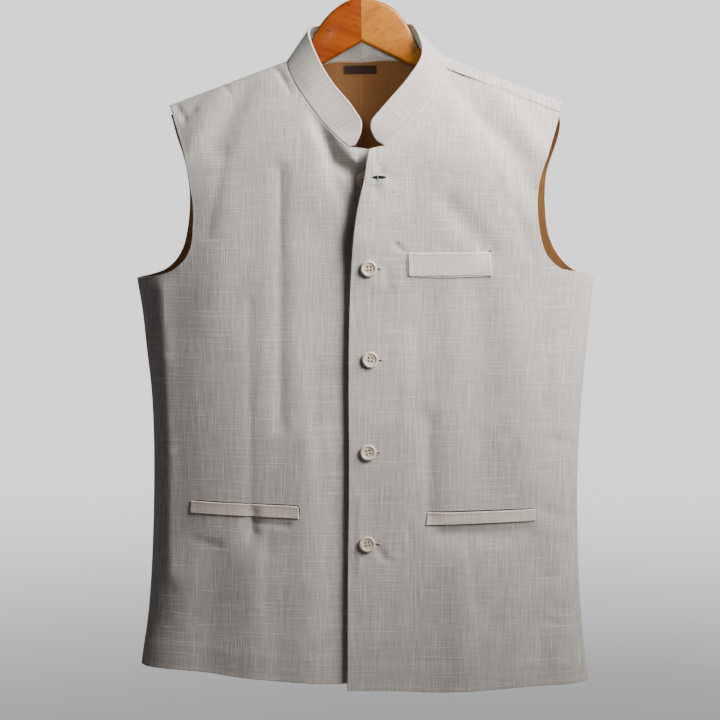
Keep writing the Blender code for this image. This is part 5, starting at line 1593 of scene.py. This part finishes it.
class WAISTCOAT_OT_buttons(bpy.types.Operator):
    """Five sewn buttons, the five buttonholes and a stray thread in the top one"""
    bl_idname = "waistcoat.buttons"
    bl_label = "Buttons and buttonholes"

    def execute(self, context):
        made = finishes()
        strands = []
        for number, (x, z) in enumerate(BUTTONS, 1):
            panel = UNDER if number == 1 else OVER
            seat, up = button_seat(panel, x, z)
            turn = BUTTON_TURNS[number - 1]
            points, faces, flat, depth = button_shape(seat, up, turn)
            name = "button_%d" % number
            add_piece(name + "_turned", made[name], points * MM, faces, (name,),
                      {"face": flat, "depth": depth})
            strands += button_threads(seat, up, turn)
        add_shapes("button_sewing", made["button_thread"], strands)
        add_shapes("buttonhole_edges", made["thread"],
                   [hole_edge(OVER, *hole) for hole in HOLES])
        # Painted shade: dark drops in the slits and a dot beside each fastened button.
        start, end, width, lift = HOLE_DOT
        dots = [line_on(OVER, ((x + start, z), (x + end, z)), width, lift) for x, z, _, _ in HOLES[1:]]
        add_shapes("buttonhole_slit_shade", made["shadow"],
                   [slit(OVER, *hole) for hole in HOLES] + dots)
        add_shapes("stray_thread", made["blue"], [line_on(OVER, STRAY_THREAD, *STRAY_SIZE)])
        return {"FINISHED"}


class WAISTCOAT_OT_hanger(bpy.types.Operator):
    """Two varnished hanger arms and the plated hook"""
    bl_idname = "waistcoat.hanger"
    bl_label = "Hanger"

    def execute(self, context):
        made = finishes()
        for name, table, side, finish in (("hanger_arm_right", ARM_LEFT, -1, "wood_left"),
                                          ("hanger_arm_left", ARM_RIGHT, 1, "wood_right")):
            points, faces = closed_loft(arm_grid(table, side), side > 0)
            add_piece(name + "_wood", made[finish], points * MM, faces, (name,))
        path = hook_path()
        across, up = frame_along(path, np.repeat([[0.0, 1.0, 0.0]], len(path), 0))
        points, faces = tube(path, across, up, HOOK_WIRE, HOOK_WIRE, 24)
        add_piece("hanger_hook_wire", made["metal"], points * MM, faces, ("hanger_hook",))
        return {"FINISHED"}


class WAISTCOAT_PT_sidebar(bpy.types.Panel):
    bl_idname = "WAISTCOAT_PT_sidebar"
    bl_label = "Waistcoat"
    bl_space_type = "VIEW_3D"
    bl_region_type = "UI"
    bl_category = "Waistcoat"

    def draw(self, context):
        for group in (context.scene.waistcoat_sizes, context.scene.waistcoat_colours,
                      context.scene.waistcoat_stage):
            box = self.layout.box()
            for name in group.bl_rna.properties.keys():
                if name not in ("rna_type", "name"):
                    box.prop(group, name)
        for operator in OPERATORS:
            self.layout.operator(operator.bl_idname)


GROUPS = (WaistcoatSizes, WaistcoatColours, WaistcoatStage)
OPERATORS = (WAISTCOAT_OT_stage, WAISTCOAT_OT_panels, WAISTCOAT_OT_lining, WAISTCOAT_OT_pockets,
             WAISTCOAT_OT_buttons, WAISTCOAT_OT_hanger)
CLASSES = GROUPS + OPERATORS + (WAISTCOAT_PT_sidebar,)


def register():
    for item in CLASSES:
        bpy.utils.register_class(item)
    bpy.types.Scene.waistcoat_sizes = bpy.props.PointerProperty(type=WaistcoatSizes)
    bpy.types.Scene.waistcoat_colours = bpy.props.PointerProperty(type=WaistcoatColours)
    bpy.types.Scene.waistcoat_stage = bpy.props.PointerProperty(type=WaistcoatStage)


def unregister():
    del bpy.types.Scene.waistcoat_stage
    del bpy.types.Scene.waistcoat_colours
    del bpy.types.Scene.waistcoat_sizes
    for item in reversed(CLASSES):
        bpy.utils.unregister_class(item)


def main():
    register()
    bpy.ops.waistcoat.stage()
    bpy.ops.waistcoat.panels()
    bpy.ops.waistcoat.lining()
    bpy.ops.waistcoat.pockets()
    bpy.ops.waistcoat.buttons()
    bpy.ops.waistcoat.hanger()


if __name__ == "__main__":
    main()
